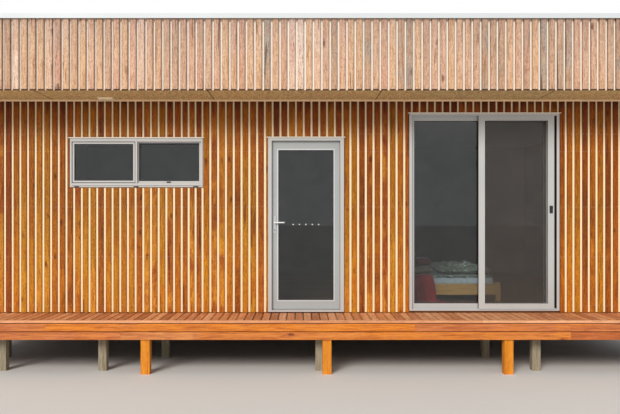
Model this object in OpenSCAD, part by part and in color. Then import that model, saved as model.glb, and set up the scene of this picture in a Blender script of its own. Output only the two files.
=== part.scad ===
// Beach house: one flat-roofed storey on stumps, clad in upright timber boards, with a
// narrow front deck, a deep boarded parapet and aluminium window and doors.
// Millimetres. X runs along the front, the front faces -Y, Z = 0 is the ground.

/* [House] */
// Length over the wall frames, along the front
house_len = 9140; // [8900:20:10400]
// Depth over the wall frames, front to back
house_depth = 5740; // [5200:20:7200]
// Thickness of a framed wall with its lining and backing sheet
wall_t = 110; // [90:1:130]
// Thickness of the board cladding on its battens
clad_t = 30; // [20:1:36]
// Distance from the wall boards out to the parapet boards
eave = 660; // [640:10:900]
// Height of the soffit above the deck
soffit_h = 2570; // [2500:10:2800]
// Height of the parapet, from the soffit to the top of its capping
parapet_h = 840; // [700:10:1000]
// Thickness of the parapet frames
parapet_t = 120; // [90:5:150]

/* [Floor and stumps] */
// Height of the deck surface above the ground
deck_z = 610; // [520:10:900]
// Step from the deck up to the room floor
floor_step = 27; // [24:1:40]
// Thickness of the floor sheets
floor_t = 19; // [16:1:22]
// Height of the floor joists
joist_h = 140; // [120:5:160]
// Thickness of the floor joists
joist_t = 45; // [35:1:50]
// Distance between floor joists, at most
joist_pitch = 450; // [400:10:600]
// Height of the bearers under the joists
bearer_h = 140; // [120:5:160]
// Width of a bearer
bearer_t = 90; // [70:1:95]
// Side of a grey stump
stump_w = 92; // [75:1:110]
// Distance between stumps along the house
stump_pitch = 2010; // [1800:10:2100]
// Centre of the middle house stump from the middle of the house
stump_x = 200; // [0:10:300]
// Distance from the wall frames in to the outer rows of stumps
row_in = 353; // [250:1:500]

/* [Deck] */
// Depth of the deck from the wall boards to its front edge
deck_depth = 600; // [520:10:640]
// Thickness of the deck boards
deck_t = 25; // [19:1:28]
// Height of the front edge board
edge_h = 30; // [28:1:36]
// Thickness of the front edge board
edge_t = 25; // [19:1:30]
// Height of one trim board below the deck edge
trim_h = 86; // [70:1:90]
// Thickness of the trim boards
trim_t = 19; // [16:1:22]
// Shadow gap above and between the trim boards
trim_gap = 8; // [3:1:10]
// Height of the front deck joist behind the trim boards
deck_beam_h = 185; // [180:1:200]
// Height of the inner deck joists
deck_joist_h = 140; // [90:5:160]
// Side of a front deck post
post_w = 100; // [90:1:110]
// Distance between front deck posts
post_pitch = 2040; // [1900:10:2100]
// Centre of the middle deck post from the middle of the house
post_x = 183; // [0:1:300]
// Distance from the wall boards to the middle deck joist
deck_mid = 342; // [300:1:345]
// Distance between the stumps under the deck
deck_stump_pitch = 2492; // [2200:1:2600]
// Centre of the middle deck stump from the middle of the house
deck_stump_x = 103; // [0:1:300]
// Distance from the left deck stump to the extra one beside it
extra_stump = 1153; // [800:1:1300]
// Distance from the end of the deck in to its end stumps
end_stump_in = 120; // [60:10:200]

/* [Window] */
// Centre of the front window from the middle of the house
window_x = -2093; // [-2400:1:-1900]
// Width of the front window
window_w = 1600; // [1200:10:1800]
// Height of the front window
window_h = 599; // [500:1:900]
// Height of the window head above the deck
window_head = 2116; // [2000:1:2200]
// Width of the single windows at the ends and back
vent_w = 800; // [600:10:1000]
// Distance between the two windows at the back
vent_pitch = 2740; // [1600:10:6000]
// Width of the outer face of a window jamb
window_face = 22; // [18:1:30]
// Height of the window head and sill faces
window_rail = 50; // [40:1:60]
// Width of a sash member around the glass
sash_face = 28; // [24:1:40]
// Depth of a window frame
window_depth = 100; // [80:1:110]
// Depth from the wall boards to an opening sash
sash_in = 30; // [16:1:36]
// Depth from the wall boards to the sash of the fixed light
fixed_light_in = 8; // [4:1:14]
// How far the lip of the window sill stands out from the wall boards
sill_out = 5; // [2:1:10]
// Thickness of a sash
sash_t = 36; // [30:1:44]
// Depth from the face of a sash to its glass
glass_in = 16; // [12:1:18]
// How far a head flashing stands out from the wall boards
flashing_out = 12; // [6:1:20]
// How far a head flashing reaches past each side of its frame
flashing_over = 17; // [6:1:30]

/* [Hinged door] */
// Centre of the door set from the middle of the house
door_x = -48; // [-300:1:100]
// Width over the door frame
door_w = 915; // [860:5:1000]
// Height of the door frame head above the deck
door_head = 2122; // [2050:1:2200]
// Width of the door frame's face
door_face = 44; // [38:1:50]
// Depth of the door frame
door_depth = 85; // [80:1:100]
// Depth of the stop in front of the door leaf
stop_d = 38; // [34:1:40]
// How far the stop laps over the leaf
stop_lap = 10; // [8:1:14]
// Gap between a moving leaf and what it closes against
run_gap = 5; // [5:1:7]
// Width of a door stile
stile_w = 88; // [80:1:110]
// Height of the door's top rail
top_rail = 120; // [100:1:140]
// Height of the door's bottom rail
bottom_rail = 106; // [95:1:140]
// Height of the door sill above the room floor
sill_h = 12; // [10:1:22]
// How far the nose of the door sill stands out from the wall boards
sill_nose = 12; // [6:1:20]
// Distance from the head and the sill to the outer hinges
hinge_in = 260; // [180:10:320]
// Height of one hinge knuckle
knuckle = 34; // [26:1:40]
// Radius of a hinge barrel
hinge_r = 7; // [6.5:0.5:8]
// Radius of a hinge pin
pin_r = 4; // [3:0.5:4.5]
// Height of the lever above the deck
lever_h = 1090; // [950:10:1150]
// Length of the lever
lever_len = 118; // [100:1:130]
// Distance from the edge of the door to the lever's spindle
backset = 46; // [40:1:55]

/* [Sliding door] */
// Centre of the sliding door set from the middle of the house
slider_x = 2102; // [1900:1:2300]
// Width over the sliding door frame
slider_w = 1808; // [1600:2:2000]
// Height of the sliding door frame head above the deck
slider_head = 2413; // [2250:1:2440]
// Depth of the three-track frame
slider_depth = 130; // [130:1:140]
// Width of the jamb's outer face
slider_jamb = 31; // [28:1:36]
// Height of the head's outer face
slider_face = 34; // [30:1:50]
// Dark gap between the screen door and the closing jamb
closing_gap = 27; // [20:1:30]
// Width of the screen door's stiles and rails
screen_face = 76; // [60:1:80]
// Width of the sliding glass door's closing stile
leaf_stile = 100; // [80:1:110]
// How far the screen door reaches past the middle of the frame
meeting_lap = 67; // [50:1:70]
// How much less than the screen door the glass door reaches past the middle
leaf_shift = 18; // [0:1:24]
// Width of the sliding glass door's meeting stile
meeting_stile = 70; // [60:1:80]
// Depth from the wall boards to the screen door
screen_in = 12; // [10:1:14]
// Thickness of the screen door
screen_t = 22; // [20:1:24]
// Thickness of the fixed sash
fixed_t = 24; // [20:1:26]
// Thickness of the sliding glass door
glass_door_t = 34; // [28:1:36]
// Gap between neighbouring tracks
track_gap = 11; // [11:0.5:12]
// Height of the running rails above the foot of the frame
rail_top = 27; // [24:1:30]
// Height of the sliding doors' feet above the foot of the frame
door_foot = 18; // [16:1:20]
// Diameter of a roller
roller_d = 24; // [20:1:28]
// Height of the sliding doors' bottom rails
bottom_rail_h = 66; // [60:1:90]
// Height of the sliding doors' top rails
top_rail_h = 72; // [60:1:90]
// Height of the screen latch above the deck
latch_h = 1248; // [1000:1:1300]
// Height of the pull handle above the deck
pull_h = 1060; // [950:10:1150]

/* [Glass] */
// Thickness of the glass
glass_t = 6; // [4:1:8]
// How far the glass goes into its frame
glass_bite = 10; // [8:1:12]

/* [Roof] */
// Fall of the roof sheets towards the back gutter, in degrees
roof_fall = 2; // [1:0.5:3]
// Height of the roof joists
roof_joist_h = 200; // [150:10:240]
// Distance between roof joists, at most
roof_joist_pitch = 600; // [400:10:700]
// Width of the box gutter along the back
gutter_w = 240; // [180:10:300]
// Depth of the box gutter
gutter_h = 90; // [70:5:120]
// Distance between ribs of the roof sheets
rib_pitch = 190; // [150:10:250]
// Height of a rib of the roof sheets
rib_h = 24; // [18:1:30]
// Height of the capping's front face
cap_h = 55; // [40:1:70]
// How far the capping stands out from the parapet boards
cap_out = 20; // [6:1:24]
// Width of a soffit sheet along the front
soffit_sheet = 1950; // [1200:10:2400]
// A joint of the soffit sheets, from the middle of the house
soffit_joint = -1147; // [-2400:1:2400]

/* [Bed] */
// Left side of the bed from the middle of the house
bed_x = 1180; // [1000:10:1250]
// Width of the bed
bed_w = 1380; // [900:10:1380]
// Length of the bed
bed_len = 2000; // [1850:10:2050]
// Distance from the wall boards to the foot of the bed
bed_in = 900; // [700:10:1000]
// Height of the bed's slats above the room floor
slat_h = 216; // [180:1:260]
// Height of the bed rails
bed_rail_h = 146; // [120:1:160]
// Side of a bed leg
bed_leg = 60; // [50:1:70]
// Thickness of the mattress
mattress_t = 129; // [110:1:180]
// Thickness of the folded throw
throw_t = 16; // [10:1:24]

/* [Hidden] */
$fn = 32;

// Gap between fixed neighbours, gap at a seat, pin or roller, and the length of a cut
joint = 0.2;
seat = 0.3;
cut = 300;

// Levels
lining_t = 10;
floor_z = deck_z + floor_step;
joist_top = floor_z - floor_t;
bearer_top = joist_top - joist_h;
stump_top = bearer_top - bearer_h;
soffit_z = deck_z + soffit_h;
plate_z = soffit_z + lining_t;
roof_top = soffit_z + parapet_h;
deck_under = deck_z - deck_t;

// Plan: w is the wall frames, c the wall boards, p the parapet frames, e the parapet boards
wx = house_len / 2;
wy = house_depth / 2;
cx = wx + clad_t;
cy = wy + clad_t;
ex = cx + eave;
ey = cy + eave;
px = ex - clad_t;
py = ey - clad_t;

// Openings in the front wall, as [left, right, bottom, top]
window_box = [
    window_x - window_w / 2, window_x + window_w / 2,
    deck_z + window_head - window_h, deck_z + window_head
];
door_box = [door_x - door_w / 2, door_x + door_w / 2, floor_z, deck_z + door_head];
slider_box = [slider_x - slider_w / 2, slider_x + slider_w / 2, floor_z, deck_z + slider_head];
vent_z = window_box[2];
board_gap = 6;

function middle(span) = (span[0] + span[1]) / 2;

// A box between two corners
module slab(x0, x1, y0, y1, z0, z1) {
    translate([x0, y0, z0]) cube([x1 - x0, y1 - y0, z1 - z0]);
}

// A square post standing at z0, with its middle at x and y
module post(x, y, side, z0, z1) {
    slab(x - side / 2, x + side / 2, y - side / 2, y + side / 2, z0, z1);
}

// A bar along X with its section given as [y, z] points
module bar_x(section, x0, x1) {
    translate([x0, 0, 0]) rotate([90, 0, 90]) linear_extrude(x1 - x0) polygon(section);
}

// A bar along Z with its section given as [x, y] points
module bar_z(section, z0, z1) {
    translate([0, 0, z0]) linear_extrude(z1 - z0) polygon(section);
}

// Children and their mirror image across the middle
module both_x() { children(); mirror([1, 0, 0]) children(); }
module both_y() { children(); mirror([0, 1, 0]) children(); }

// Places children at an opening: x across, y from the board face inwards, z up
module at_front(x, z) { translate([x, -cy, z]) children(); }
module at_back(x, z) { translate([x, cy, z]) rotate(180) children(); }
module at_left(y, z) { translate([-cx, y, z]) rotate(-90) children(); }
module at_right(y, z) { translate([cx, y, z]) rotate(90) children(); }

// Each single window of the back, and of both ends
module each_back_vent() {
    for (side = [-1, 1]) at_back(side * vent_pitch / 2, vent_z) children();
}
module each_vent() {
    each_back_vent() children();
    at_left(0, vent_z) children();
    at_right(0, vent_z) children();
}

// Under the floor

stump_cols = floor((2 * (wx - stump_x) - stump_w) / stump_pitch) + 1;
stump_rows = 4;
row_y = wy - row_in;
deck_mid_y = -(cy + deck_mid);

function stump_row(i) = -row_y + i * 2 * row_y / (stump_rows - 1);

module stumps() {
    first = stump_x - (stump_cols - 1) / 2 * stump_pitch;
    left = deck_stump_x - deck_stump_pitch;
    along_deck = [
        -cx + end_stump_in, left - extra_stump, left,
        deck_stump_x, deck_stump_x + deck_stump_pitch, cx - end_stump_in
    ];
    color([0.55, 0.53, 0.48]) {
        for (i = [0:stump_cols - 1], row = [0:stump_rows - 1])
            post(first + i * stump_pitch, stump_row(row), stump_w, 0, stump_top);
        for (x = along_deck) post(x, deck_mid_y, stump_w, 0, deck_under - deck_joist_h);
    }
}

module bearers() {
    color([0.62, 0.5, 0.34])
        for (row = [0:stump_rows - 1])
            slab(-wx, wx, stump_row(row) - bearer_t / 2, stump_row(row) + bearer_t / 2,
                 stump_top, bearer_top);
}

// Joists across the house between two rim joists
module floor_joists() {
    spaces = ceil((house_len - joist_t) / joist_pitch);
    step = (house_len - joist_t) / spaces;
    rim_y = wy - joist_t;
    color([0.66, 0.54, 0.38]) {
        for (i = [0:spaces])
            slab(-wx + i * step, -wx + i * step + joist_t, -rim_y + joint, rim_y - joint,
                 bearer_top, joist_top);
        both_y() slab(-wx, wx, rim_y, wy, bearer_top, joist_top);
    }
}

module floor() {
    color([0.6, 0.45, 0.32]) slab(-wx, wx, -wy, wy, joist_top, floor_z);
}

// Deck

deck_front = -(cy + deck_depth) + edge_t;
post_back = 5;
posts_right = floor((cx - post_x - post_w / 2) / post_pitch);
posts_left = floor((cx + post_x - post_w / 2) / post_pitch);

module deck_posts() {
    y = deck_front + post_back + post_w / 2;
    color([0.82, 0.46, 0.16])
        for (i = [-posts_left:posts_right])
            post(post_x + i * post_pitch, y, post_w, 0, deck_under - deck_beam_h);
}

module deck_joists() {
    color([0.6, 0.42, 0.24]) {
        slab(-cx, cx, deck_front, deck_front + joist_t, deck_under - deck_beam_h, deck_under);
        slab(-cx, cx, deck_mid_y - joist_t / 2, deck_mid_y + joist_t / 2,
             deck_under - deck_joist_h, deck_under);
        slab(-cx, cx, -wy - joist_t, -wy, deck_under - deck_joist_h, deck_under);
    }
}

// One board along the front edge of the deck and one across each end
module edge_course(t, z0, z1) {
    slab(-cx - t, cx + t, deck_front - t, deck_front, z0, z1);
    both_x() slab(cx + joint, cx + t, deck_front + joint, -cy, z0, z1);
}

module deck_edge_boards() {
    color([0.86, 0.55, 0.26]) {
        edge_course(edge_t, deck_z - edge_h, deck_z);
        for (i = [0, 1]) {
            top = deck_z - edge_h - trim_gap - i * (trim_h + trim_gap);
            edge_course(trim_t, top - trim_h, top);
        }
    }
}

module deck_boards() {
    color([0.75, 0.47, 0.28]) slab(-cx, cx, deck_front, -wy, deck_under, deck_z);
}

// Walls: plain framed panels, split beside and over each opening

module front_panel(x0, x1, z0, z1) { slab(x0, x1, -wy, -wy + wall_t, z0, z1); }

module front_wall_piers() {
    color([0.92, 0.84, 0.72]) {
        front_panel(-wx, window_box[0], floor_z, plate_z);
        front_panel(window_box[1], door_box[0], floor_z, plate_z);
        front_panel(door_box[1], slider_box[0], floor_z, plate_z);
        front_panel(slider_box[1], wx, floor_z, plate_z);
    }
}

module front_wall_sill_panel() {
    color([0.92, 0.84, 0.72]) front_panel(window_box[0], window_box[1], floor_z, window_box[2]);
}

module front_wall_lintels() {
    color([0.92, 0.84, 0.72])
        for (hole = [window_box, door_box, slider_box])
            front_panel(hole[0], hole[1], hole[3], plate_z);
}

// The hole for one single window, in the frame of its opening
module vent_hole(extra) {
    slab(-vent_w / 2 - extra, vent_w / 2 + extra, -cut, cut, -extra, window_h + extra);
}

module end_wall() {
    slab(wx - wall_t, wx, -wy + wall_t, wy - wall_t, floor_z, plate_z);
}

module left_wall() {
    color([0.92, 0.84, 0.72]) difference() {
        mirror([1, 0, 0]) end_wall();
        at_left(0, vent_z) vent_hole(0);
    }
}

module right_wall() {
    color([0.92, 0.84, 0.72]) difference() {
        end_wall();
        at_right(0, vent_z) vent_hole(0);
    }
}

module back_wall() {
    color([0.92, 0.84, 0.72]) difference() {
        slab(-wx, wx, wy - wall_t, wy, floor_z, plate_z);
        each_back_vent() vent_hole(0);
    }
}

// Cladding: the outer skin of boards on each side, stopping short of deck and soffit

clad_top = soffit_z - 15;
clad_foot = deck_z + 6;
skirt_z = bearer_top - 18;

module front_hole(hole, foot) {
    slab(hole[0] - board_gap, hole[1] + board_gap, -cy - cut, -wy + cut, foot, hole[3] + board_gap);
}

module front_cladding() {
    color([0.72, 0.42, 0.18]) difference() {
        slab(-cx, cx, -cy, -wy, clad_foot, clad_top);
        front_hole(window_box, window_box[2] - board_gap);
        front_hole(door_box, 0);
        front_hole(slider_box, 0);
    }
}

module end_cladding() {
    color([0.72, 0.42, 0.18]) both_x() difference() {
        slab(wx, cx, -wy, wy, skirt_z, clad_top);
        at_right(0, vent_z) vent_hole(board_gap);
    }
}

module back_cladding() {
    color([0.72, 0.42, 0.18]) difference() {
        slab(-cx, cx, wy, cy, skirt_z, clad_top);
        each_back_vent() vent_hole(board_gap);
    }
}

// Roof: joists over the walls carry the soffit, the parapet frames and the metal sheets

soffit_end_sheets = 3;
sheet_gap = 4;
least_sheet = 100;

// Joints of the long soffits: whole sheets either way from one joint, with no sliver at an end
soffit_joints = [
    for (i = [-ceil(px / soffit_sheet):ceil(px / soffit_sheet)])
        let (x = soffit_joint + i * soffit_sheet) if (abs(x) < px - least_sheet) x
];

module ceiling() {
    color([0.93, 0.93, 0.91])
        slab(-wx + wall_t, wx - wall_t, -wy + wall_t, wy - wall_t, soffit_z, plate_z);
}

// Soffit sheets between the walls and the back of the parapet boards
module soffit() {
    half_gap = sheet_gap / 2;
    edges = concat([-px - half_gap], soffit_joints, [px + half_gap]);
    end = 2 * (wy - sheet_gap) / soffit_end_sheets;
    color([0.55, 0.42, 0.27]) {
        both_y() for (i = [1:len(edges) - 1])
            slab(edges[i - 1] + half_gap, edges[i] - half_gap, wy, py, soffit_z, plate_z);
        both_x() for (i = [0:soffit_end_sheets - 1])
            slab(wx, px, -wy + sheet_gap + i * end, -wy + (i + 1) * end, soffit_z, plate_z);
    }
}

// Inner faces of the parapet frames, and the gutter and sheets between them
roof_x = px - parapet_t;
roof_y = py - parapet_t;
roof_base = plate_z + roof_joist_h;
gauge = 3;
roof_metal = 2;
gutter_y = roof_y - gutter_w;
gutter_back = 60;
sheet_lap = 40;
sheet_lift = 12;
sheet_low_y = gutter_y + sheet_lap;
sheet_low_z = roof_base + gutter_h + sheet_lift;
purlin_t = 70;
purlin_in = 20;
purlin_end = 80;
purlins = 7;
rib_foot = 60;
rib_crown = 28;

// Height of the roof sheets' underside
function roof_z(y) = sheet_low_z + (sheet_low_y - y) * tan(roof_fall);

module roof_joists() {
    spaces = ceil((2 * roof_x - joist_t) / roof_joist_pitch);
    step = (2 * roof_x - joist_t) / spaces;
    color([0.68, 0.56, 0.4])
        for (i = [0:spaces])
            slab(-roof_x + i * step, -roof_x + i * step + joist_t, -roof_y, roof_y,
                 plate_z, roof_base);
}

// Purlins rise towards the front with the fall of the sheets
module roof_purlins() {
    first = -roof_y + purlin_in;
    run = gutter_y - purlin_end - purlin_t - first;
    color([0.68, 0.56, 0.4])
        for (i = [0:purlins - 1]) {
            y0 = first + i * run / (purlins - 1);
            y1 = y0 + purlin_t;
            bar_x([[y0, roof_base], [y1, roof_base], [y1, roof_z(y1) - seat],
                   [y0, roof_z(y0) - seat]], -roof_x, roof_x);
        }
}

// Ribbed sheets: the section across the fall, drawn along its top and back underneath
module roof_sheets() {
    width = roof_x - gauge;
    ribs = floor((2 * width - rib_foot) / rib_pitch);
    start = -(ribs - 1) / 2 * rib_pitch;
    rib = [[-rib_foot / 2, 0], [-rib_crown / 2, rib_h], [rib_crown / 2, rib_h], [rib_foot / 2, 0]];
    line = [for (i = [0:ribs - 1], p = rib) [start + i * rib_pitch + p[0], p[1]]];
    upper = concat([[-width, 0]], line, [[width, 0]]);
    lower = [for (i = [len(upper) - 1:-1:0]) upper[i] - [0, roof_metal]];
    run = (sheet_low_y + roof_y - gauge) / cos(roof_fall);
    color([0.74, 0.77, 0.78])
        translate([0, sheet_low_y, sheet_low_z + roof_metal / cos(roof_fall)])
            rotate([90 - roof_fall, 0, 0])
                linear_extrude(run) polygon(concat(upper, lower));
}

// Box gutter along the back, open at the top under the lower edge of the sheets
module roof_gutter() {
    top = roof_base + gutter_h;
    foot = roof_base + gauge;
    color([0.7, 0.73, 0.74])
        bar_x([[gutter_y, roof_base], [roof_y, roof_base], [roof_y, top + gutter_back],
               [roof_y - gauge, top + gutter_back], [roof_y - gauge, foot],
               [gutter_y + gauge, foot], [gutter_y + gauge, top], [gutter_y, top]],
              -roof_x, roof_x);
}

// Parapet: framed blocks under a folded capping, with boards outside

frame_top = roof_top - gauge;
parapet_foot = soffit_z - 6;

module parapet_long_frames() {
    color([0.85, 0.83, 0.78]) both_y() slab(-px, px, roof_y, py, plate_z, frame_top);
}

module parapet_end_frames() {
    color([0.85, 0.83, 0.78]) both_x() slab(roof_x, px, -roof_y, roof_y, plate_z, frame_top);
}

module parapet_cladding() {
    color([0.8, 0.68, 0.57]) {
        both_y() slab(-ex, ex, py, ey, parapet_foot, frame_top);
        both_x() slab(px, ex, -py + joint, py - joint, parapet_foot, frame_top);
    }
}

// Capping: a folded channel over the parapet, in four lengths with open mitres
module parapet_capping() {
    kx = ex + cap_out;
    ky = ey + cap_out;
    in_x = roof_x - gauge;
    in_y = roof_y - gauge;
    mitre = 2;
    color([0.93, 0.94, 0.93]) difference() {
        slab(-kx, kx, -ky, ky, roof_top - cap_h, roof_top);
        slab(-kx + gauge, kx - gauge, -ky + gauge, ky - gauge, 0, frame_top);
        slab(-in_x, in_x, -in_y, in_y, 0, roof_top + cut);
        for (sx = [-1, 1], sy = [-1, 1])
            translate([sx * (kx + in_x) / 2, sy * (ky + in_y) / 2, roof_top])
                rotate(sx * sy * 45) cube([4 * parapet_t, mitre, 4 * cap_h], center = true);
    }
}

// Windows, drawn with x across, y from the board face inwards and z from the frame's foot

light_h = window_h - 2 * window_rail;
light_w = (window_w - 3 * window_face) / 2;
light_x = (light_w + window_face) / 2;
vent_light_w = vent_w - 2 * window_face;

// The two lights of the front window, each as [middle, depth of its sash]
lights = [[-light_x, fixed_light_in], [light_x, sash_in]];

// Two uprights and, between them, a head and a foot: outer size and the widths of their faces
module four_bars(w, h, side, rail, y0, y1) {
    both_x() slab(w / 2 - side, w / 2, y0, y1, 0, h);
    for (z = [0, h - rail]) slab(-w / 2 + side + joint, w / 2 - side - joint, y0, y1, z, z + rail);
}

module sash(w, h, depth) {
    difference() {
        four_bars(w, h, sash_face, sash_face, depth, depth + sash_t);
        pane(w, h, depth);
    }
}

// Glass with its edge inside the sash
module pane(w, h, depth) {
    edge = sash_face - glass_bite;
    y = depth + glass_in;
    slab(-w / 2 + edge, w / 2 - edge, y, y + glass_t, edge, h - edge);
}

// Sill of the front window: a lip over the boards, a drip groove and a sloping top
module window_sill() {
    lip_h = 13;
    groove = [8, 6];
    fall = 12;
    span = window_w / 2 - window_face - joint;
    bar_x([[-sill_out, 0], [-sill_out, lip_h], [groove[0], lip_h], [groove[0], lip_h + groove[1]],
           [0, lip_h + groove[1]], [0, window_rail - fall], [fixed_light_in, window_rail],
           [window_depth, window_rail], [window_depth, 0]], -span, span);
    slab(-window_w / 2, window_w / 2, -sill_out, -joint, 0, lip_h);
}

module window_frame() {
    span = window_w / 2 - window_face - joint;
    color([0.74, 0.74, 0.72]) at_front(window_x, window_box[2]) {
        both_x() slab(window_w / 2 - window_face, window_w / 2, 0, window_depth, 0, window_h);
        slab(-span, span, 0, window_depth, window_h - window_rail, window_h);
        slab(-window_face / 2, window_face / 2, 0, window_depth, window_rail + joint,
             window_h - window_rail - joint);
        window_sill();
    }
}

module window_sash() {
    color([0.76, 0.76, 0.74]) at_front(window_x, window_box[2] + window_rail)
        for (light = lights) translate([light[0], 0, 0]) sash(light_w, light_h, light[1]);
}

module window_glass() {
    color([0.25, 0.27, 0.3]) at_front(window_x, window_box[2] + window_rail)
        for (light = lights) translate([light[0], 0, 0]) pane(light_w, light_h, light[1]);
}

// A single window: on each side one bar holds the frame's face and the sash behind it
module vent_bars() {
    side = window_face + sash_face;
    rail = window_rail + sash_face;
    span = vent_w / 2 - side - joint;
    sash_y = sash_in + sash_t;
    upright = [[vent_w / 2, 0], [vent_w / 2 - window_face, 0], [vent_w / 2 - window_face, sash_in],
               [vent_w / 2 - side, sash_in], [vent_w / 2 - side, sash_y],
               [vent_w / 2 - window_face, sash_y], [vent_w / 2 - window_face, window_depth],
               [vent_w / 2, window_depth]];
    level = [[0, 0], [0, window_rail], [sash_in, window_rail], [sash_in, rail], [sash_y, rail],
             [sash_y, window_rail], [window_depth, window_rail], [window_depth, 0]];
    both_x() bar_z(upright, 0, window_h);
    bar_x(level, -span, span);
    bar_x([for (p = level) [p[0], window_h - p[1]]], -span, span);
}

module vent_window_frames() {
    color([0.74, 0.74, 0.72]) each_vent() difference() {
        vent_bars();
        translate([0, 0, window_rail]) pane(vent_light_w, light_h, sash_in);
    }
}

module vent_window_glass() {
    color([0.25, 0.27, 0.3]) each_vent() translate([0, 0, window_rail])
        pane(vent_light_w, light_h, sash_in);
}

// Flashing over each front head: a leaf that laps behind the boards, and a folded nose
// in front of them that reaches past the frame
module head_flashings() {
    nose_h = 11;
    lap = board_gap - 1;
    out = -cy - flashing_out;
    color([0.9, 0.9, 0.88])
        for (hole = [window_box, door_box, slider_box]) {
            top = hole[3] + roof_metal;
            slab(hole[0] - lap, hole[1] + lap, out, -wy, hole[3], top);
            slab(hole[0] - flashing_over, hole[1] + flashing_over, out, -cy - joint,
                 top - nose_h, top);
        }
}

// Hinged door, opening into the room on hinges at its right

rebate = door_face - stop_lap - run_gap;
leaf_w = door_w - 2 * (rebate + run_gap);
door_h = deck_z + door_head - floor_z;
door_y = [stop_d + run_gap, door_depth];
door_z = [sill_h + run_gap, door_h - rebate - run_gap];
pane_in = 18;
hinge_off = 1;
hinge_wing = 26;
hinge_plate = 3;
hinge_x = leaf_w / 2 + run_gap / 2;
hinge_y = door_depth + hinge_off + hinge_r;
hinge_zs = [hinge_in, door_h / 2, door_h - hinge_in];

// One knuckle: a barrel and its plate, drawn for the frame; the leaf's is its mirror image
module knuckle_at(z, bore) {
    h = knuckle - 2 * seat;
    face = -hinge_r - hinge_off;
    translate([0, 0, z]) difference() {
        union() {
            cylinder(r = hinge_r, h = h);
            slab(0, hinge_wing, face, face + hinge_plate, 0, h);
            slab(-2, hinge_plate, face + hinge_off, 0, 0, h);
        }
        if (bore > 0) translate([0, 0, -cut / 2]) cylinder(r = bore, h = cut);
    }
}

module door_frame() {
    z1 = door_h - door_face;
    nose_drop = 12;
    nose_top = 8;
    jamb = [[0, 0], [door_face, 0], [door_face, stop_d], [rebate, stop_d], [rebate, door_depth],
            [0, door_depth]];
    head = [[0, door_h], [0, z1], [stop_d, z1], [stop_d, door_h - rebate],
            [door_depth, door_h - rebate], [door_depth, door_h]];
    sill = [[-sill_nose, -nose_drop], [clad_t - 1, -nose_drop], [clad_t - 1, 0], [door_depth, 0],
            [door_depth, sill_h], [stop_d, sill_h], [-sill_nose, nose_top]];
    over_sill = [[-sill_nose, -joint], [door_depth + joint, -joint],
                 [door_depth + joint, sill_h + joint], [stop_d, sill_h + joint],
                 [-sill_nose, nose_top + joint]];
    color([0.76, 0.76, 0.74]) at_front(door_x, floor_z) {
        // Jambs whose feet are cut to the slope of the sill
        both_x() difference() {
            bar_z([for (p = jamb) [door_w / 2 - p[0], p[1]]], 0, door_h);
            bar_x(over_sill, 0, door_w);
        }
        bar_x(head, -door_w / 2 + door_face + joint, door_w / 2 - door_face - joint);
        bar_x(sill, -door_w / 2, door_w / 2);
        translate([hinge_x, hinge_y, 0]) for (z = hinge_zs) {
            knuckle_at(z - 1.5 * knuckle + seat, 0);
            knuckle_at(z + 0.5 * knuckle + seat, 0);
            translate([0, 0, z - 1.5 * knuckle]) cylinder(r = pin_r, h = 3 * knuckle);
        }
    }
}

module door_pane() {
    slab(-leaf_w / 2 + stile_w - glass_bite, leaf_w / 2 - stile_w + glass_bite,
         door_y[0] + pane_in, door_y[0] + pane_in + glass_t,
         door_z[0] + bottom_rail - glass_bite, door_z[1] - top_rail + glass_bite);
}

module door_leaf() {
    color([0.75, 0.75, 0.73]) at_front(door_x, floor_z) difference() {
        union() {
            difference() {
                slab(-leaf_w / 2, leaf_w / 2, door_y[0], door_y[1], door_z[0], door_z[1]);
                slab(-leaf_w / 2 + stile_w, leaf_w / 2 - stile_w, -cut, cut,
                     door_z[0] + bottom_rail, door_z[1] - top_rail);
            }
            translate([hinge_x, hinge_y, 0]) mirror([1, 0, 0])
                for (z = hinge_zs) knuckle_at(z - knuckle / 2 + seat, pin_r + seat);
        }
        door_pane();
    }
}

module door_glass() {
    color([0.25, 0.27, 0.3]) at_front(door_x, floor_z) door_pane();
}

// One side's lever set on its long plate, drawn standing out towards -Y
module lever_set() {
    plate = [28, 8];
    plate_z = [-130, 78];
    bar_d = 16;
    spindle = [18, 44];
    lock = [17, 13, 90];
    slab(-plate[0] / 2, plate[0] / 2, -plate[1], 0, plate_z[0], plate_z[1]);
    rotate([90, 0, 0]) cylinder(d = spindle[0], h = spindle[1]);
    translate([0, -spindle[1] + bar_d / 4, 0]) rotate([0, 90, 0]) cylinder(d = bar_d, h = lever_len);
    translate([0, 0, -lock[2]]) rotate([90, 0, 0]) cylinder(d = lock[0], h = lock[1]);
}

module door_handle() {
    color([0.8, 0.81, 0.82])
        at_front(door_x - leaf_w / 2 + backset, deck_z + lever_h) {
            translate([0, door_y[0], 0]) lever_set();
            translate([0, door_y[1], 0]) mirror([0, 1, 0]) lever_set();
        }
}

// Sliding door set on three tracks: screen door outside, fixed glass, glass door inside

slider_h = deck_z + slider_head - floor_z;
half_w = slider_w / 2;
screen_y = [screen_in, screen_in + screen_t];
fixed_y = [screen_y[1] + track_gap, screen_y[1] + track_gap + fixed_t];
leaf_y = [fixed_y[1] + track_gap, fixed_y[1] + track_gap + glass_door_t];
sill_base = 6;
head_t = 8;
lift_gap = 12;
door_top = slider_h - head_t - lift_gap;
glass_z = [door_foot + bottom_rail_h, door_top - top_rail_h];
meet_x = -meeting_lap;
leaf_meet_x = meet_x + leaf_shift;
close_x = half_w - slider_jamb - closing_gap;

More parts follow.
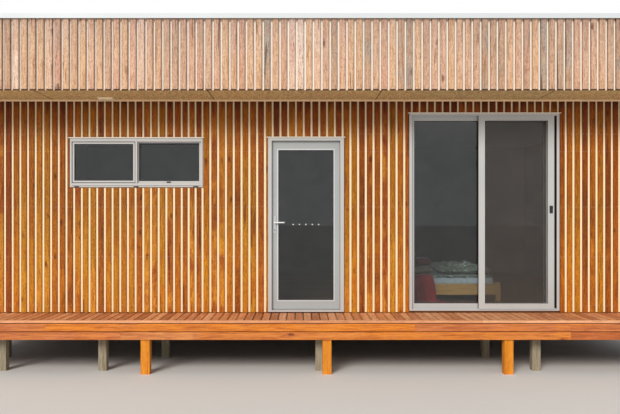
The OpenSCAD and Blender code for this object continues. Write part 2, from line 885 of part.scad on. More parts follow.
module slider_frame() {
    inner = half_w - slider_jamb - joint;
    rail_t = 3;
    upstand = 4;
    nose_h = 10;
    lip_h = 18;
    back_h = 34;
    flange_w = 44;
    flange_t = 10;
    ribs = [
        [0, upstand, nose_h],
        [middle(screen_y) - rail_t / 2, middle(screen_y) + rail_t / 2, rail_top],
        [fixed_y[0] - 4, fixed_y[0] - 2, lip_h],
        [fixed_y[1] + 2, fixed_y[1] + 4, lip_h],
        [middle(leaf_y) - rail_t / 2, middle(leaf_y) + rail_t / 2, rail_top],
        [slider_depth - upstand, slider_depth, back_h]
    ];
    fins = [
        [0, upstand],
        [fixed_y[0] - 5, fixed_y[0] - 2],
        [fixed_y[1] + 2, fixed_y[1] + 5],
        [slider_depth - 2 * upstand, slider_depth]
    ];
    color([0.77, 0.77, 0.75]) at_front(slider_x, floor_z) {
        // sill with its running rails
        slab(-half_w, half_w, 0, slider_depth, 0, sill_base);
        for (rib = ribs) slab(-inner, inner, rib[0], rib[1], sill_base - 1, rib[2]);
        // head with its guide fins
        slab(-inner, inner, 0, slider_depth, slider_h - head_t, slider_h);
        for (fin = fins)
            slab(-inner, inner, fin[0], fin[1], slider_h - slider_face, slider_h - 1);
        // jambs, the closing one with a flange behind the glass door
        both_x() slab(half_w - slider_jamb, half_w, 0, slider_depth, sill_base + joint, slider_h);
        slab(half_w - slider_jamb - flange_w, half_w - 1, slider_depth - flange_t, slider_depth,
             back_h + 1, slider_h - slider_face - joint);
    }
}

// The fixed half: a slim sash standing on the sill, with its meeting stile at the middle
fixed_x = [-half_w + slider_jamb + joint, meet_x + meeting_stile];
fixed_jamb_stile = 34;
fixed_meeting_stile = 60;

module fixed_pane() {
    slab(fixed_x[0] + fixed_jamb_stile - glass_bite, fixed_x[1] - fixed_meeting_stile + glass_bite,
         middle(fixed_y) - glass_t / 2, middle(fixed_y) + glass_t / 2,
         glass_z[0] - glass_bite, glass_z[1] + glass_bite);
}

module slider_fixed_sash() {
    stiles = [[fixed_x[0], fixed_x[0] + fixed_jamb_stile],
              [fixed_x[1] - fixed_meeting_stile, fixed_x[1]]];
    color([0.76, 0.76, 0.74]) at_front(slider_x, floor_z) difference() {
        union() {
            for (x = stiles)
                slab(x[0], x[1], fixed_y[0], fixed_y[1], sill_base, slider_h - head_t);
            for (z = [[sill_base, glass_z[0]], [glass_z[1], slider_h - head_t]])
                slab(stiles[0][1] + joint, stiles[1][0] - joint, fixed_y[0], fixed_y[1], z[0], z[1]);
        }
        fixed_pane();
    }
}

module slider_fixed_glass() {
    color([0.25, 0.27, 0.3]) at_front(slider_x, floor_z) fixed_pane();
}

// A sliding panel from x0 to the closing side: a ring of stiles and rails, with a channel
// below that holds its rollers
module sliding_panel(x0, span, left, right, channel) {
    axle_z = rail_top + seat + roller_d / 2;
    roller_in = 110;
    roller_t = 6;
    axle_d = 6;
    difference() {
        slab(x0, close_x, span[0], span[1], door_foot, door_top);
        slab(x0 + left, close_x - right, -cut, cut, glass_z[0], glass_z[1]);
        slab(x0 - cut, close_x + cut, middle(span) - channel / 2, middle(span) + channel / 2,
             0, axle_z + roller_d / 2 + 2);
    }
    for (x = [x0 + roller_in, close_x - roller_in])
        translate([x, middle(span), axle_z]) rotate([90, 0, 0]) {
            cylinder(d = roller_d, h = roller_t, center = true);
            cylinder(d = axle_d, h = channel + 2, center = true);
        }
}

// The sheet held by a sliding panel
module panel_sheet(x0, span, left, right, t, bite) {
    slab(x0 + left - bite, close_x - right + bite, middle(span) - t / 2,
         middle(span) + t / 2, glass_z[0] - bite, glass_z[1] + bite);
}

// A round pull on two posts, on the room side of the closing stile
module pull_handle() {
    bar_d = 18;
    reach = 42;
    length = 220;
    post_d = 12;
    translate([close_x - leaf_stile / 2, leaf_y[1], deck_z + pull_h - floor_z]) {
        translate([0, reach, -length / 2]) cylinder(d = bar_d, h = length);
        for (z = [-length / 2 + post_d, length / 2 - post_d])
            translate([0, -1, z]) rotate([-90, 0, 0]) cylinder(d = post_d, h = reach + 1);
    }
}

leaf_channel = 18;
screen_channel = 14;
mesh_t = 2;
mesh_bite = 6;

module leaf_sheet() {
    panel_sheet(leaf_meet_x, leaf_y, meeting_stile, leaf_stile, glass_t, glass_bite);
}

module mesh_sheet() {
    panel_sheet(meet_x, screen_y, screen_face, screen_face, mesh_t, mesh_bite);
}

module slider_leaf() {
    color([0.72, 0.72, 0.7]) at_front(slider_x, floor_z) {
        difference() {
            sliding_panel(leaf_meet_x, leaf_y, meeting_stile, leaf_stile, leaf_channel);
            leaf_sheet();
        }
        pull_handle();
    }
}

module slider_leaf_glass() {
    color([0.25, 0.27, 0.3]) at_front(slider_x, floor_z) leaf_sheet();
}

module screen_door() {
    color([0.77, 0.77, 0.75]) at_front(slider_x, floor_z) difference() {
        sliding_panel(meet_x, screen_y, screen_face, screen_face, screen_channel);
        mesh_sheet();
    }
}

module screen_mesh() {
    color([0.2, 0.2, 0.2]) at_front(slider_x, floor_z) mesh_sheet();
}

// Latch case on the screen door's closing stile, with its snib
module screen_latch() {
    size = [38, 8, 90];
    snib = [10, 6, 30];
    color([0.08, 0.08, 0.08])
        at_front(slider_x + close_x - screen_face / 2, deck_z + latch_h)
            translate([0, screen_y[0], 0]) {
                slab(-size[0] / 2, size[0] / 2, -size[1], 0, -size[2] / 2, size[2] / 2);
                slab(-snib[0] / 2, snib[0] / 2, -size[1] - snib[1], -size[1] + 1,
                     -snib[2] / 2, snib[2] / 2);
            }
}

// Flat lamp under the soffit, over the left light of the window
module eave_light() {
    lamp = [175, 150, 20];
    lens_in = 6;
    from_window = 330;
    from_wall = 90;
    color([0.9, 0.9, 0.88]) translate([window_x - from_window, -cy - from_wall, soffit_z]) {
        slab(-lamp[0] / 2, lamp[0] / 2, -lamp[1] / 2, lamp[1] / 2, -lamp[2] + 8, 0);
        slab(-lamp[0] / 2 + lens_in, lamp[0] / 2 - lens_in, -lamp[1] / 2 + lens_in,
             lamp[1] / 2 - lens_in, -lamp[2], -lamp[2] + 9);
    }
}

// Bed behind the sliding door

bed_y = -cy + bed_in;
slat_z = floor_z + slat_h;
slat_t = 20;
rail_t = 32;
rail_in = 12;
post_up = 40;
bed_ends = [bed_y, bed_y + bed_len];
bed_sides = [bed_x, bed_x + bed_w];
mattress_top = slat_z + seat + mattress_t;

module bed_frame() {
    z0 = slat_z + slat_t - bed_rail_h;
    z1 = slat_z + slat_t;
    color([0.66, 0.5, 0.3]) {
        for (x = [bed_sides[0] + bed_leg / 2, bed_sides[1] - bed_leg / 2],
             y = [bed_ends[0] + bed_leg / 2, bed_ends[1] - bed_leg / 2])
            post(x, y, bed_leg, floor_z, z1 + slat_t);
        for (y = [bed_ends[0] + rail_in, bed_ends[1] - rail_in - rail_t])
            slab(bed_sides[0] + rail_in, bed_sides[1] - rail_in, y, y + rail_t, z0, z1);
        for (x = [bed_sides[0] + rail_in, bed_sides[1] - rail_in - rail_t])
            slab(x, x + rail_t, bed_ends[0] + rail_in, bed_ends[1] - rail_in, z0, z1);
        slab(bed_sides[0] + rail_in + 1, bed_sides[1] - rail_in - 1, bed_ends[0] + rail_in + 1,
             bed_ends[1] - rail_in - 1, slat_z - slat_t, slat_z);
    }
}

module mattress() {
    gap = bed_leg + 1;
    color([0.7, 0.74, 0.8])
        slab(bed_sides[0] + gap, bed_sides[1] - gap, bed_ends[0] + gap, bed_ends[1] - gap,
             slat_z + seat, mattress_top);
}

// Two cushions, the smaller on the larger, each given as [x, y, width, depth, height]
module cushions() {
    large = [180, 120, 380, 360, 130];
    small = [200, 140, 320, 300, 120];
    z = mattress_top + throw_t + 2 * seat;
    color([0.45, 0.12, 0.12]) translate([bed_x, bed_y, z]) {
        translate([large[0], large[1], 0]) cube([large[2], large[3], large[4]]);
        translate([small[0], small[1], large[4] + seat]) cube([small[2], small[3], small[4]]);
    }
}

// Throw over the foot of the bed, down in front of the rail and onto the floor
module throw() {
    span = [130, 512];
    on_bed = 620;
    on_floor = 220;
    clear = 4;
    z = mattress_top + seat;
    y = bed_y - throw_t - clear;
    foot = floor_z + seat;
    color([0.45, 0.1, 0.1])
        bar_x([[bed_y + on_bed, z], [bed_y + on_bed, z + throw_t], [y, z + throw_t],
               [y, foot + throw_t], [y - on_floor, foot + throw_t], [y - on_floor, foot],
               [y + throw_t, foot], [y + throw_t, z]],
              bed_x + span[0], bed_x + span[1]);
}

stumps();
bearers();
floor_joists();
floor();
deck_posts();
deck_joists();
deck_edge_boards();
deck_boards();
front_wall_piers();
front_wall_sill_panel();
front_wall_lintels();
left_wall();
right_wall();
back_wall();
front_cladding();
end_cladding();
back_cladding();
ceiling();
soffit();
roof_joists();
roof_purlins();
roof_sheets();
roof_gutter();
parapet_long_frames();
parapet_end_frames();
parapet_cladding();
parapet_capping();
window_frame();
window_sash();
window_glass();
vent_window_frames();
vent_window_glass();
head_flashings();
door_frame();
door_leaf();
door_glass();
door_handle();
slider_frame();
slider_fixed_sash();
slider_fixed_glass();
slider_leaf();
slider_leaf_glass();
screen_door();
screen_mesh();
screen_latch();
eave_light();
bed_frame();
mattress();
cushions();
throw();
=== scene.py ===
"""Finish of a timber-clad beach house: boards, metal, glass and cloth round its fixed frame."""
import math
import random

import bmesh
import bpy
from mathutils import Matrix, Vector, noise


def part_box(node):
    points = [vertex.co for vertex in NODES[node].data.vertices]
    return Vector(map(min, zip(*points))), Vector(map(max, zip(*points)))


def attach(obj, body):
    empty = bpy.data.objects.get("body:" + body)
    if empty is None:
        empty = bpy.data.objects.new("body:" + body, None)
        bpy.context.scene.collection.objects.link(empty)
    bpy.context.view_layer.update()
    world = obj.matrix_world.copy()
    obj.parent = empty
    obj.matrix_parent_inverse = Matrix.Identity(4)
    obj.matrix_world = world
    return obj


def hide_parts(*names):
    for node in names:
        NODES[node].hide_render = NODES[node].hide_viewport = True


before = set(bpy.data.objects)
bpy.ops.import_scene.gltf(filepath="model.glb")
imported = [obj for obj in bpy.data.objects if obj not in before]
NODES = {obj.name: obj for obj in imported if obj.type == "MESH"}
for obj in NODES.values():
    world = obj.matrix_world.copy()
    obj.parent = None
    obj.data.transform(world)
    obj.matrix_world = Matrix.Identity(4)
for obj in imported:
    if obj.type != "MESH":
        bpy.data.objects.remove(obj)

bpy.context.scene.view_settings.view_transform = "Standard"
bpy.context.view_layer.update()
QUARTER = math.pi / 2
chance = random.Random(11)

# Upright boards of walls and parapet, in metres
BOARD_GAP = 0.028
BOARD_T = 0.030
BOARD_ROUND = 0.002
# How deep the cream strips lie behind the faces of the boards, and how far they reach under them
STRIP_IN = 0.013
PARAPET_STRIP_IN = 0.027
STRIP_LAP = 0.003
# Boards right of this place have weathered darker
DARKER_FROM = 1.0
# The centre of a gap between front boards, by its number from the left
FRONT_MARKS = [
    (-9, -4.522), (0, -3.679), (23, -1.548), (26, -1.297),
    (34, -0.544), (45, 0.487), (79, 3.641), (89, 4.522),
]
PARAPET_GAP = 0.026
# Parapet boards that have weathered paler or greyer than their neighbours, from and to along X
PALE_BOARDS = (-0.26, -0.06)
GREY_BOARDS = (2.5, 2.95)
PARAPET_MARKS = [(-21, -5.177), (0, -3.226), (72, 3.463), (90, 5.177)]
EVEN_PITCH = 0.0927

# Nails and screws: heights of their rows, how far each of a pair is from its board's middle, heads
NAIL_ROWS = (0.70, 1.29, 1.888, 2.556, 2.767)
LOW_NAIL_ROW = 0.56
PARAPET_NAIL_ROWS = (3.26, 3.60, 3.93)
NAIL_AWAY = 0.018
SCREW_AWAY = 0.024
WALL_NAIL = 0.0028
PARAPET_NAIL = 0.0022
DECK_SCREW = 0.0042
HEAD_T = 0.0008
# How far a nail may stray above or below its row, and the narrowest board that is nailed
NAIL_SKEW = 0.004
LEAST_NAILED = 0.03
# What stands on a face starts this far off it
CLEAR = 0.0002

# The single windows: half the width of their holes, and how far the back ones are from the middle
VENT_HALF = 0.406
BACK_VENT = 1.37

# Deck boards, and the row of screws between those at their ends
DECK_PITCH = 0.0955
DECK_GAP = 0.008
DECK_SEAM = -0.081
DECK_TOP = 0.610
DECK_MIDDLE_ROW = -3.242

# The front edge board, and the trim boards under it and behind its face
EDGE_H = 0.030
EDGE_T = 0.025
TRIM_H = 0.086
TRIM_T = 0.019
TRIM_IN = 0.006
TRIM_DROP = 0.038

# Joints between the soffit boards along the front and back eaves, and how far off the wall they end
SOFFIT_JOINTS = (-3.095, -1.153, 0.789, 2.731)
SOFFIT_JOINT_W = 0.009
SOFFIT_JOINT_OFF = 0.016

# Room floor boards
FLOOR_PITCH = 0.136
FLOOR_GAP = 0.0015

# The gap that the wall boards leave round an opening
OPENING_GAP = 0.006

# Faces of the house, as distances out from its middle, and where its lining meets its backing
WALL_OUT = 2.900
END_OUT = 4.600
LINING_OUT = 2.764
END_LINING_OUT = 4.464

# Glass: how far it reaches into its frame, its thickness, and how far in from the frame it lies
GLASS_BITE = 0.010
GLASS_T = 0.006
GLASS_IN = 0.016

# Widths of the faces of jambs, rails, sashes and the doors' frames
JAMB_FACE = 0.022
RAIL_FACE = 0.050
SASH_FACE = 0.028
DOOR_FACE = 0.044
SLIDER_JAMB = 0.031
# How far in from the faces of the boards these lie, and how high the sill's lip stands
FIXED_LIGHT_IN = 0.008
SASH_IN = 0.030
DOOR_LEAF_IN = 0.043
LOCK_FACE_IN = 0.030
LEVER_PLATE_IN = 0.035
SILL_LIP = 0.015

# From the top of the plate down to the lever, from there to the lock, and in from the door's edge
LEVER_DROP = 0.078
LOCK_DROP = 0.090
BACKSET = 0.046
# How far the door's seals reach down from the top of its frame
SEAL_LONG = 2.08
# The front window's weep covers and catch, as distances from its middle
WEEP_AWAY = 0.717
CATCH_AWAY = 0.387

# Spots on the door's glass
SPOT_Z = 1.677
SPOT_RADIUS = 0.0068
SPOT_PITCH = 0.0775

# Fly screen
WIRE = 0.0003
WIRE_PITCH = 0.0015

# Where the pale border at the foot of the bed ends, going in over the bed and up its edge
QUILT_BORDER_Y = -1.885
QUILT_BORDER_Z = 0.944
# Cushions: cells along a side, how far the sides draw in, and how square the crown is
CUSHION_STEPS = 40
CUSHION_PULL = 0.07
CUSHION_POWER = 3.4
PIPING_STEPS = 24
# The throw's cut size, and the steps of its mesh across and along
THROW_STEPS = (72, 150)


def opening(node):
    """The hole that a framed opening needs in the boards, along X and Z."""
    low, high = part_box(node)
    return (low.x - OPENING_GAP, high.x + OPENING_GAP, low.z - OPENING_GAP, high.z + OPENING_GAP)


# Node trees

class Tree:
    """Adds nodes to a tree and joins them."""

    def __init__(self, tree):
        self.nodes = tree.nodes
        self.links = tree.links

    def feed(self, socket, value):
        """Joins another node's socket to this one, or writes a plain value on it."""
        if isinstance(value, bpy.types.NodeSocket):
            self.links.new(value, socket)
        elif value is not None:
            socket.default_value = value

    def add(self, kind, inputs=None, **settings):
        """A node of this kind, with its settings and its inputs by name or number."""
        node = self.nodes.new(kind)
        for name, value in settings.items():
            setattr(node, name, value)
        for name, value in (inputs or {}).items():
            self.feed(node.inputs[name], value)
        return node

    def math(self, operation, a, b=None):
        node = self.add("ShaderNodeMath", {0: a}, operation=operation)
        self.feed(node.inputs[1], b)
        return node.outputs[0]

    def vector(self, operation, a, b):
        return self.add("ShaderNodeVectorMath", {0: a, 1: b}, operation=operation).outputs[0]

    def blend(self, factor, a, b, way="MIX"):
        """Two colours mixed by a factor."""
        node = self.add("ShaderNodeMix", data_type="RGBA", blend_type=way)
        for number, value in ((0, factor), (6, a), (7, b)):
            self.feed(node.inputs[number], value)
        return node.outputs[2]

    def ramp(self, factor, stops):
        """Colours along a factor, from (place, colour) stops."""
        node = self.add("ShaderNodeValToRGB", {0: factor})
        elements = node.color_ramp.elements
        while len(elements) < len(stops):
            elements.new(0.5)
        for element, (place, colour) in zip(elements, stops):
            element.position = place
            element.color = colour
        return node.outputs[0]

    def level(self, value, low, high, to_low=0.0, to_high=1.0):
        """A value spread from one range to another, and held inside it."""
        inputs = {0: value, 1: low, 2: high, 3: to_low, 4: to_high}
        return self.add("ShaderNodeMapRange", inputs).outputs[0]

    def noise(self, vector, scale, detail=2.0, rough=0.5, distort=0.0):
        inputs = {"Vector": vector, "Scale": scale, "Detail": detail,
                  "Roughness": rough, "Distortion": distort}
        return self.add("ShaderNodeTexNoise", inputs).outputs[0]


def new_group(name, inputs, made):
    """An empty geometry tree with named inputs: the group, its tree and the inputs' sockets."""
    group = bpy.data.node_groups.new(name, "GeometryNodeTree")
    for title, kind in inputs:
        group.interface.new_socket(title, in_out="INPUT", socket_type="NodeSocket" + kind)
    group.interface.new_socket(made, in_out="OUTPUT", socket_type="NodeSocketGeometry")
    tree = Tree(group)
    return group, tree, tree.add("NodeGroupInput").outputs


def end_group(tree, shape, material):
    """Ends a geometry tree with its instances realized and their material set."""
    real = tree.add("GeometryNodeRealizeInstances", {"Geometry": shape})
    done = tree.add("GeometryNodeSetMaterial", {"Geometry": real.outputs[0], "Material": material})
    tree.links.new(done.outputs[0], tree.add("NodeGroupOutput").inputs[0])


def paint(red, green, blue):
    """A colour written as the eye reads it, from 0 to 255, as a linear one."""
    def linear(value):
        value = value / 255
        return value / 12.92 if value <= 0.04045 else ((value + 0.055) / 1.055) ** 2.4
    return (linear(red), linear(green), linear(blue), 1.0)


def new_material(name):
    """An empty material, its tree and its main shader."""
    material = bpy.data.materials.new(name)
    material.use_nodes = True
    material.node_tree.nodes.clear()
    tree = Tree(material.node_tree)
    shader = tree.add("ShaderNodeBsdfPrincipled")
    output = tree.add("ShaderNodeOutputMaterial")
    tree.links.new(shader.outputs[0], output.inputs[0])
    return material, tree, shader


def object_place(tree):
    """Where each point of the surface lies, in metres."""
    return tree.add("ShaderNodeTexCoord").outputs["Object"]


def dress(tree, shader, colour, rough, height=None, raised=0.0):
    """Gives a shader its colour and roughness, and a pattern raised at most this far in metres."""
    tree.links.new(colour, shader.inputs["Base Color"])
    tree.feed(shader.inputs["Roughness"], rough)
    if height is not None:
        inputs = {"Height": height, "Distance": raised, "Strength": 1.0}
        bump = tree.add("ShaderNodeBump", inputs)
        tree.links.new(bump.outputs[0], shader.inputs["Normal"])


# Timber

ALONG = {"X": (0.05, 1.0, 1.0), "Y": (1.0, 0.05, 1.0), "Z": (1.0, 1.0, 0.05)}
KNOTTED = {"X": (0.4, 1.0, 1.0), "Y": (1.0, 0.4, 1.0), "Z": (1.0, 1.0, 0.4)}


def board_values(tree):
    """The tone and shift that each board carries."""
    return [tree.add("ShaderNodeAttribute", attribute_name=name).outputs["Fac"]
            for name in ("tone", "shift")]


def knots_on(tree, body, own, along, amount, colour):
    """Scattered oval knots, drawn out along the grain."""
    ragged = tree.level(tree.noise(own, 60.0, 2.0, 0.6), 0.3, 0.7, -0.06, 0.06)
    cells = tree.add("ShaderNodeTexVoronoi", {
        "Vector": tree.vector("MULTIPLY", own, KNOTTED[along]), "Scale": 9.0,
    })
    near = tree.level(tree.math("ADD", cells.outputs["Distance"], ragged), 0.07, 0.20, 1.0, 0.0)
    pick = tree.add("ShaderNodeSeparateColor", {0: cells.outputs["Color"]}).outputs[0]
    few = tree.level(pick, 1.0 - 0.35 * amount, 1.0 - 0.3 * amount)
    return tree.blend(tree.math("MULTIPLY", tree.math("MULTIPLY", near, few), 0.8), body, colour)


def shade_by_height(tree, body, place, ragged, stops):
    """A colour multiplied in by height, for painted shade: stops are (height, colour) from the lowest
    up.
    """
    height = tree.add("ShaderNodeSeparateXYZ", {0: place}).outputs["Z"]
    height = tree.math("ADD", height, ragged)
    low, high = stops[0][0], stops[-1][0]
    ramp = tree.ramp(tree.level(height, low, high),
                     [((z - low) / (high - low), colour) for z, colour in stops])
    return tree.blend(1.0, body, ramp, "MULTIPLY")


def timber(name, tones, figure, knots, rough, along="Z", fine=0.35, ruddy=None, height_shade=None,
           height_shade_ragged=0.06, checks=0.0, gloss=0.25, mottled=0.15, varied=0.09, edge_shade=0.0):
    """Sawn timber with the grain along an axis. Each board's tone and shift come as attributes."""
    material, tree, shader = new_material(name)
    tone, shift = board_values(tree)
    spread = tree.add("ShaderNodeCombineXYZ", {
        0: tree.math("MULTIPLY", shift, 37.0),
        1: tree.math("MULTIPLY", shift, 61.0),
        2: tree.math("MULTIPLY", shift, 23.0),
    }).outputs[0]
    place = object_place(tree)
    own = tree.vector("ADD", place, spread)
    grain = tree.vector("MULTIPLY", own, ALONG[along])
    broad = tree.noise(grain, 24.0, 3.0, 0.6, 1.6)
    rings = tree.noise(grain, 75.0, 4.0, 0.65, 0.8)
    streaks = tree.noise(grain, 150.0, 3.0, 0.7, 0.5)
    lines = tree.noise(grain, 380.0, 2.0, 0.6)
    drawn = tree.vector("MULTIPLY", own, KNOTTED[along])
    mottle = tree.noise(drawn, 88.0, 3.0, 0.75)
    patch = tree.noise(drawn, 5.0, 3.0, 0.65)
    mixed = tree.math("ADD", tone, tree.level(patch, 0.3, 0.7, -varied, varied))
    colour = tree.ramp(mixed, tones)
    if ruddy:
        share = tree.level(shift, 0.62, 1.0, 0.0, 0.75)
        share = tree.math("MULTIPLY", share, tree.level(patch, 0.35, 0.6))
        colour = tree.blend(share, colour, ruddy)
    darker = tree.blend(1.0, colour, paint(176, 138, 112), "MULTIPLY")
    lighter = tree.blend(0.4, colour, paint(255, 232, 196), "SOFT_LIGHT")
    body = tree.blend(tree.level(broad, 0.40, 0.66, 0.0, figure), colour, darker)
    body = tree.blend(tree.level(rings, 0.48, 0.72, 0.0, figure), body, lighter)
    body = tree.blend(tree.level(rings, 0.46, 0.30, 0.0, figure * 1.2), body, darker)
    body = tree.blend(tree.level(lines, 0.5, 0.75, 0.0, fine), body, darker)
    body = tree.blend(tree.level(streaks, 0.51, 0.66, 0.0, fine * 1.4), body, darker)
    body = tree.blend(tree.level(streaks, 0.47, 0.34, 0.0, fine * 1.2), body, lighter)
    body = tree.blend(tree.level(mottle, 0.50, 0.62, 0.0, mottled), body, darker)
    body = tree.blend(tree.level(mottle, 0.50, 0.38, 0.0, mottled), body, lighter)
    dark = tree.blend(1.0, colour, paint(120, 84, 66), "MULTIPLY")
    body = knots_on(tree, body, own, along, knots, dark)
    # Painted shade along each board's long edges, beside the recessed gaps
    if edge_shade:
        across = tree.add("ShaderNodeAttribute", attribute_name="across").outputs["Fac"]
        edge = tree.level(tree.math("ABSOLUTE", across), 0.66, 0.98, 0.0, edge_shade)
        body = tree.blend(edge, body, dark)
    if checks:
        cracks = tree.level(tree.noise(grain, 34.0, 1.0, 0.4), 0.69, 0.73, 0.0, checks)
        body = tree.blend(cracks, body, dark)
    # Painted shade multiplied in by height
    if height_shade:
        ragged = tree.level(broad, 0.25, 0.75, -height_shade_ragged, height_shade_ragged)
        body = shade_by_height(tree, body, place, ragged, height_shade)
    uneven = tree.level(rings, 0.3, 0.8, rough - 0.08, rough + 0.1)
    height = tree.math("ADD", tree.math("MULTIPLY", lines, 0.6), tree.math("MULTIPLY", rings, 0.5))
    dress(tree, shader, body, uneven, height, 0.0006)
    shader.inputs["Specular IOR Level"].default_value = gloss
    return material


def wall_timber():
    tones = [
        (0.00, paint(150, 82, 22)), (0.20, paint(182, 106, 24)), (0.42, paint(208, 128, 28)),
        (0.62, paint(204, 142, 32)), (0.84, paint(230, 156, 50)), (1.00, paint(180, 100, 30)),
    ]
    # Painted shade under the eave, darkest right under the soffit
    height_shade = [
        (1.1, paint(255, 255, 255)), (1.9, paint(216, 208, 204)), (2.55, paint(212, 200, 190)),
        (3.02, paint(194, 172, 152)), (3.10, paint(160, 132, 104)), (3.17, paint(116, 88, 60)),
    ]
    return timber("oiled_wall_timber", tones, figure=0.6, fine=0.62, knots=1.7, rough=0.6,
                  ruddy=paint(172, 82, 26), height_shade=height_shade, checks=0.6, gloss=0.18, mottled=0.42,
                  varied=0.22, edge_shade=0.4)


def parapet_timber():
    tones = [
        (0.00, paint(180, 170, 160)), (0.14, paint(202, 174, 150)), (0.34, paint(222, 190, 168)),
        (0.56, paint(228, 194, 160)), (0.80, paint(236, 206, 182)), (1.00, paint(246, 230, 218)),
    ]
    # The lowest stops are painted shade on the boards' ends at the soffit; higher up the boards go a
    # little greyer towards the capping
    height_shade = [
        (3.165, paint(84, 62, 46)), (3.181, paint(96, 72, 54)), (3.188, paint(255, 248, 240)),
        (3.5, paint(255, 250, 247)), (3.8, paint(244, 242, 244)), (4.02, paint(228, 224, 230)),
    ]
    return timber("weathered_parapet_timber", tones, figure=0.45, fine=0.6, knots=1.1, rough=0.78,
                  ruddy=paint(222, 176, 156), height_shade=height_shade, checks=0.7, mottled=0.42, varied=0.16,
                  edge_shade=0.3, height_shade_ragged=0.0)


def deck_timber():
    tones = [
        (0.00, paint(196, 126, 80)), (0.25, paint(234, 158, 106)), (0.60, paint(255, 186, 134)),
        (0.85, paint(216, 140, 92)), (1.00, paint(255, 190, 142)),
    ]
    return timber("oiled_deck_timber", tones, along="Y", figure=0.7, fine=0.5, knots=0.4, rough=0.6,
                  mottled=0.4, edge_shade=0.3)


def trim_timber(name, along):
    tones = [
        (0.00, paint(210, 126, 72)), (0.30, paint(232, 136, 36)), (0.55, paint(222, 136, 62)),
        (0.80, paint(192, 106, 56)), (1.00, paint(224, 146, 84)),
    ]
    return timber(name, tones, along=along, figure=0.7, fine=0.25, knots=0.4, rough=0.5, gloss=0.35,
                  mottled=0.08, varied=0.14)


def edge_timber():
    tones = [(0.0, paint(222, 156, 112)), (0.5, paint(236, 172, 128)), (1.0, paint(242, 184, 142))]
    return timber("oiled_edge_timber", tones, along="X", figure=0.35, knots=0.1, rough=0.5)


def post_timber():
    tones = [(0.0, paint(234, 148, 40)), (0.5, paint(238, 154, 48)), (1.0, paint(222, 134, 44))]
    return timber("treated_post_timber", tones, figure=0.6, knots=0.8, rough=0.6)


def stump_timber():
    tones = [(0.0, paint(162, 158, 138)), (0.5, paint(172, 168, 148)), (1.0, paint(148, 144, 126))]
    return timber("grey_stump_timber", tones, figure=0.6, knots=0.4, rough=0.85, checks=0.8)


# Dark brown, made darker as painted shade for the framing seen under the house
def frame_timber(name, along):
    tones = [(0.0, paint(110, 82, 54)), (0.5, paint(124, 94, 62)), (1.0, paint(96, 72, 46))]
    return timber(name, tones, along=along, figure=0.5, knots=0.5, rough=0.8)


def bed_timber():
    tones = [(0.0, paint(204, 158, 92)), (0.5, paint(222, 178, 108)), (1.0, paint(196, 150, 88))]
    return timber("pale_bed_timber", tones, along="X", figure=0.4, knots=0.5, rough=0.45)


def floor_timber():
    tones = [(0.0, paint(112, 76, 48)), (0.5, paint(134, 92, 58)), (1.0, paint(98, 66, 42))]
    return timber("room_floor_timber", tones, along="X", figure=0.5, knots=0.3, rough=0.4)


# Sheets, metal, glass and cloth

# The grit of paint, and the surface of cloth
PAINT_GRIT = 260.0
PAINT_RAISED = 0.00015
CLOTH_ROUGH = 0.9
CLOTH_SHEEN = 0.3
CLOTH_RAISED = 0.0004


def painted(name, colour, shade, rough, worn=0.25):
    """A painted or powder-coated face, a little uneven in tone and gloss."""
    material, tree, shader = new_material(name)
    place = object_place(tree)
    cloud = tree.noise(place, 1.7, 3.0, 0.6)
    grain = tree.noise(place, PAINT_GRIT, 2.0, 0.6)
    body = tree.blend(tree.level(cloud, 0.35, 0.75, 0.0, worn), colour, shade)
    body = tree.blend(tree.level(grain, 0.45, 0.7, 0.0, worn * 0.5), body, shade)
    uneven = tree.level(cloud, 0.3, 0.7, rough - 0.06, rough + 0.06)
    dress(tree, shader, body, uneven, grain, PAINT_RAISED)
    return material


def strip_paint():
    """Cream paint on the strips between the wall boards, with painted shade at its edges high under
    the eave.
    """
    material, tree, shader = new_material("cream_strip_paint")
    place = object_place(tree)
    height = tree.add("ShaderNodeSeparateXYZ", {0: place}).outputs["Z"]
    across = tree.add("ShaderNodeAttribute", attribute_name="across").outputs["Fac"]
    cloud = tree.noise(place, 1.7, 3.0, 0.6)
    grain = tree.noise(place, PAINT_GRIT, 2.0, 0.6)
    clouded = tree.level(cloud, 0.35, 0.75, 0.0, 0.25)
    body = tree.blend(clouded, paint(255, 232, 190), paint(250, 220, 172))
    # Painted shade on the strip's edges, growing towards the eave
    edge = tree.level(tree.math("ABSOLUTE", across), 0.15, 0.70)
    eave_shade = tree.math("MULTIPLY", edge, tree.level(height, 2.6, 3.1, 0.0, 0.8))
    body = tree.blend(eave_shade, body, paint(126, 86, 48))
    dress(tree, shader, body, 0.7, grain, PAINT_RAISED)
    return material


def wall_sheet():
    """Cream backing outside and a duller lining inside, told apart by place."""
    material, tree, shader = new_material("cream_wall_sheet")
    place = object_place(tree)
    parts = tree.add("ShaderNodeSeparateXYZ", {0: place})
    sides = [tree.level(tree.math("ABSOLUTE", parts.outputs[axis]), start, start + 0.004)
             for axis, start in (("X", END_LINING_OUT), ("Y", LINING_OUT))]
    outside = tree.math("MAXIMUM", *sides)
    cloud = tree.noise(place, 2.3, 3.0, 0.6)
    grain = tree.noise(place, 190.0, 2.0, 0.6)
    clouded = tree.level(cloud, 0.3, 0.8, 0.0, 0.5)
    cream = tree.blend(clouded, paint(255, 236, 206), paint(246, 218, 178))
    room = tree.blend(tree.level(cloud, 0.3, 0.8), paint(150, 146, 140), paint(140, 136, 130))
    body = tree.blend(outside, room, cream)
    body = tree.blend(tree.level(grain, 0.45, 0.75, 0.0, 0.12), body, paint(150, 120, 90))
    dress(tree, shader, body, 0.7, grain, 0.0002)
    return material


